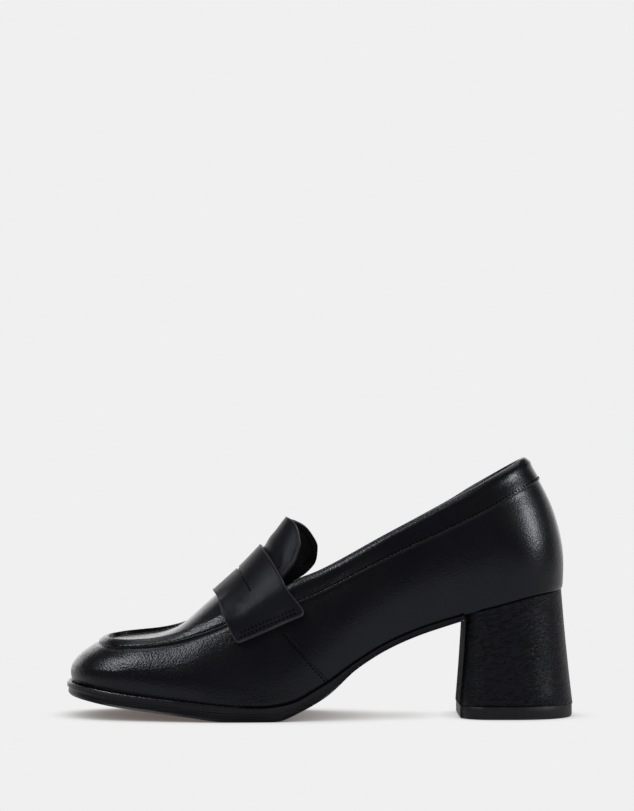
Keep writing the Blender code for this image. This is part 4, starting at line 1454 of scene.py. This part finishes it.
class SoleLook(bpy.types.PropertyGroup):
    """Colours and gloss of sole and top lift"""
    edge_colour: FloatVectorProperty(name="Sole edge", description="Colour of the sole's dressed edge",
                                     subtype="COLOR", size=3, min=0.0, max=1.0,
                                     default=(0.0036, 0.0041, 0.0064))
    edge_gloss: FloatProperty(name="Edge gloss", description="How strongly edge and top lift reflect",
                              subtype="FACTOR", min=0.0, max=1.0, default=0.2)
    ridge_gloss: FloatProperty(name="Ridge gloss", description="How strongly the sole's top edge reflects",
                               subtype="FACTOR", min=0.0, max=1.0, default=0.5)
    underside_colour: FloatVectorProperty(name="Underside", description="Colour under the sole",
                                          subtype="COLOR", size=3, min=0.0, max=1.0,
                                          default=(0.42, 0.24, 0.13))
    lift_colour: FloatVectorProperty(name="Top lift", description="Colour of the top lift", subtype="COLOR",
                                     size=3, min=0.0, max=1.0, default=(0.0042, 0.0048, 0.0074))


class StitchSizes(bpy.types.PropertyGroup):
    """Sizes of stitches and needle holes"""
    stitch_pitch: FloatProperty(name="Pitch", description="Distance from stitch to stitch", unit="LENGTH",
                                min=0.0005, max=0.01, default=0.0019)
    stitch_length: FloatProperty(name="Length", description="Length of one stitch", unit="LENGTH",
                                 min=0.0005, max=0.01, default=0.0013)
    thread_width: FloatProperty(name="Thread", description="Width of the thread", unit="LENGTH",
                                min=0.0001, max=0.003, default=0.00075)
    hole_width: FloatProperty(name="Needle hole", description="Width of a needle hole", unit="LENGTH",
                              min=0.0001, max=0.003, default=0.0008)
    thread_colour: FloatVectorProperty(name="Thread colour", description="Colour of the thread",
                                       subtype="COLOR", size=3, min=0.0, max=1.0,
                                       default=(0.0012, 0.0012, 0.0015))


class StudioSettings(bpy.types.PropertyGroup):
    """Lights and background of the studio"""
    shadow_colour: FloatVectorProperty(name="Shadow", description="Colour of the floor right under the sole",
                                       subtype="COLOR", size=3, min=0.0, max=1.0,
                                       default=(0.12, 0.096, 0.087))
    shadow_reach: FloatProperty(name="Shadow reach", description="How far the shoe shades the floor",
                                unit="LENGTH", min=0.001, max=0.5, default=0.04)
    card_height: FloatProperty(name="Card height", description="Height of the lit card behind the floor",
                               unit="LENGTH", min=0.5, max=6.0, default=2.4)
    overhead_power: FloatProperty(name="Overhead", description="Power of the softbox overhead", unit="POWER",
                                  min=0.0, max=500.0, default=12.0)
    left_power: FloatProperty(name="Left", description="Power of the softbox at the toe", unit="POWER",
                              min=0.0, max=500.0, default=18.0)
    rear_power: FloatProperty(name="Rear", description="Power of the softbox behind the shoe", unit="POWER",
                              min=0.0, max=500.0, default=32.0)
    right_power: FloatProperty(name="Right", description="Power of the softbox at the heel", unit="POWER",
                               min=0.0, max=500.0, default=23.0)
    surround: FloatProperty(name="Surround", description="Brightness of the dark studio in reflections",
                            min=0.0, max=5.0, default=0.03)
    fill: FloatProperty(name="Fill", description="Soft light that falls on the shoe from all round", min=0.0,
                        max=5.0, default=0.9)
    background: FloatProperty(name="Background", description="Brightness behind the floor", min=0.0, max=5.0,
                              default=0.87)


class LOAFER_OT_upper(bpy.types.Operator):
    """Finish the upper with its seams, leather and lining"""
    bl_idname = "loafer.upper"
    bl_label = "Upper"

    def execute(self, context):
        make_upper(context.scene.loafer_leather)
        return {"FINISHED"}


class LOAFER_OT_strap(bpy.types.Operator):
    """Finish the saddle strap with its soft folds and folded edges"""
    bl_idname = "loafer.strap"
    bl_label = "Saddle strap"

    def execute(self, context):
        make_strap(context.scene.loafer_leather)
        return {"FINISHED"}


class LOAFER_OT_tongue(bpy.types.Operator):
    """Finish the tongue with its folded edge and lining"""
    bl_idname = "loafer.tongue"
    bl_label = "Tongue"

    def execute(self, context):
        make_tongue(context.scene.loafer_leather)
        return {"FINISHED"}


class LOAFER_OT_sole(bpy.types.Operator):
    """Finish the outsole and the insole"""
    bl_idname = "loafer.sole"
    bl_label = "Sole and insole"

    def execute(self, context):
        make_outsole(context.scene.loafer_sole)
        make_insole(context.scene.loafer_leather)
        return {"FINISHED"}


class LOAFER_OT_heel(bpy.types.Operator):
    """Finish the covered heel and its top lift"""
    bl_idname = "loafer.heel"
    bl_label = "Heel and top lift"

    def execute(self, context):
        make_heel(context.scene.loafer_leather)
        make_lift(context.scene.loafer_sole)
        return {"FINISHED"}


class LOAFER_OT_beads(bpy.types.Operator):
    """Lay the beads of collar, rim, vamp seams and sole, and the backing of the slit"""
    bl_idname = "loafer.beads"
    bl_label = "Beads"

    def execute(self, context):
        make_beads(context.scene.loafer_leather)
        make_slit_backing(context.scene.loafer_leather)
        make_sole_ridge(context.scene.loafer_sole)
        return {"FINISHED"}


class LOAFER_OT_stitches(bpy.types.Operator):
    """Sew the seams with rows of stitches and prick the strap's needle holes"""
    bl_idname = "loafer.stitches"
    bl_label = "Stitches"

    def execute(self, context):
        make_stitches(context.scene.loafer_stitches)
        return {"FINISHED"}


class LOAFER_OT_stage(bpy.types.Operator):
    """Set up the floor, the lights and the camera"""
    bl_idname = "loafer.stage"
    bl_label = "Studio"

    def execute(self, context):
        make_stage(context.scene.loafer_studio)
        return {"FINISHED"}


OPERATORS = (
    LOAFER_OT_upper,
    LOAFER_OT_strap,
    LOAFER_OT_tongue,
    LOAFER_OT_sole,
    LOAFER_OT_heel,
    LOAFER_OT_beads,
    LOAFER_OT_stitches,
    LOAFER_OT_stage,
)


class LOAFER_PT_panel(bpy.types.Panel):
    """List the steps that finish the shoe"""
    bl_idname = "LOAFER_PT_panel"
    bl_label = "Heeled Penny Loafer"
    bl_space_type = "VIEW_3D"
    bl_region_type = "UI"
    bl_category = "Loafer"

    def draw(self, context):
        column = self.layout.column()
        for step in OPERATORS:
            column.operator(step.bl_idname)
        for group in (context.scene.loafer_leather, context.scene.loafer_sole,
                      context.scene.loafer_stitches, context.scene.loafer_studio):
            box = self.layout.box()
            for name in group.__annotations__:
                box.prop(group, name)


GROUPS = (
    ("loafer_leather", LeatherLook),
    ("loafer_sole", SoleLook),
    ("loafer_stitches", StitchSizes),
    ("loafer_studio", StudioSettings),
)


def register():
    """Add the settings, the steps and the panel to Blender."""
    for name, group in GROUPS:
        bpy.utils.register_class(group)
        setattr(bpy.types.Scene, name, PointerProperty(type=group))
    for step in OPERATORS:
        bpy.utils.register_class(step)
    bpy.utils.register_class(LOAFER_PT_panel)


def unregister():
    """Take the panel, the steps and the settings out again."""
    bpy.utils.unregister_class(LOAFER_PT_panel)
    for step in reversed(OPERATORS):
        bpy.utils.unregister_class(step)
    for name, group in reversed(GROUPS):
        delattr(bpy.types.Scene, name)
        bpy.utils.unregister_class(group)


def main():
    """Finish the shoe step by step."""
    register()
    bpy.ops.loafer.upper()
    bpy.ops.loafer.strap()
    bpy.ops.loafer.tongue()
    bpy.ops.loafer.sole()
    bpy.ops.loafer.heel()
    bpy.ops.loafer.beads()
    bpy.ops.loafer.stitches()
    bpy.ops.loafer.stage()


if __name__ == "__main__":
    main()
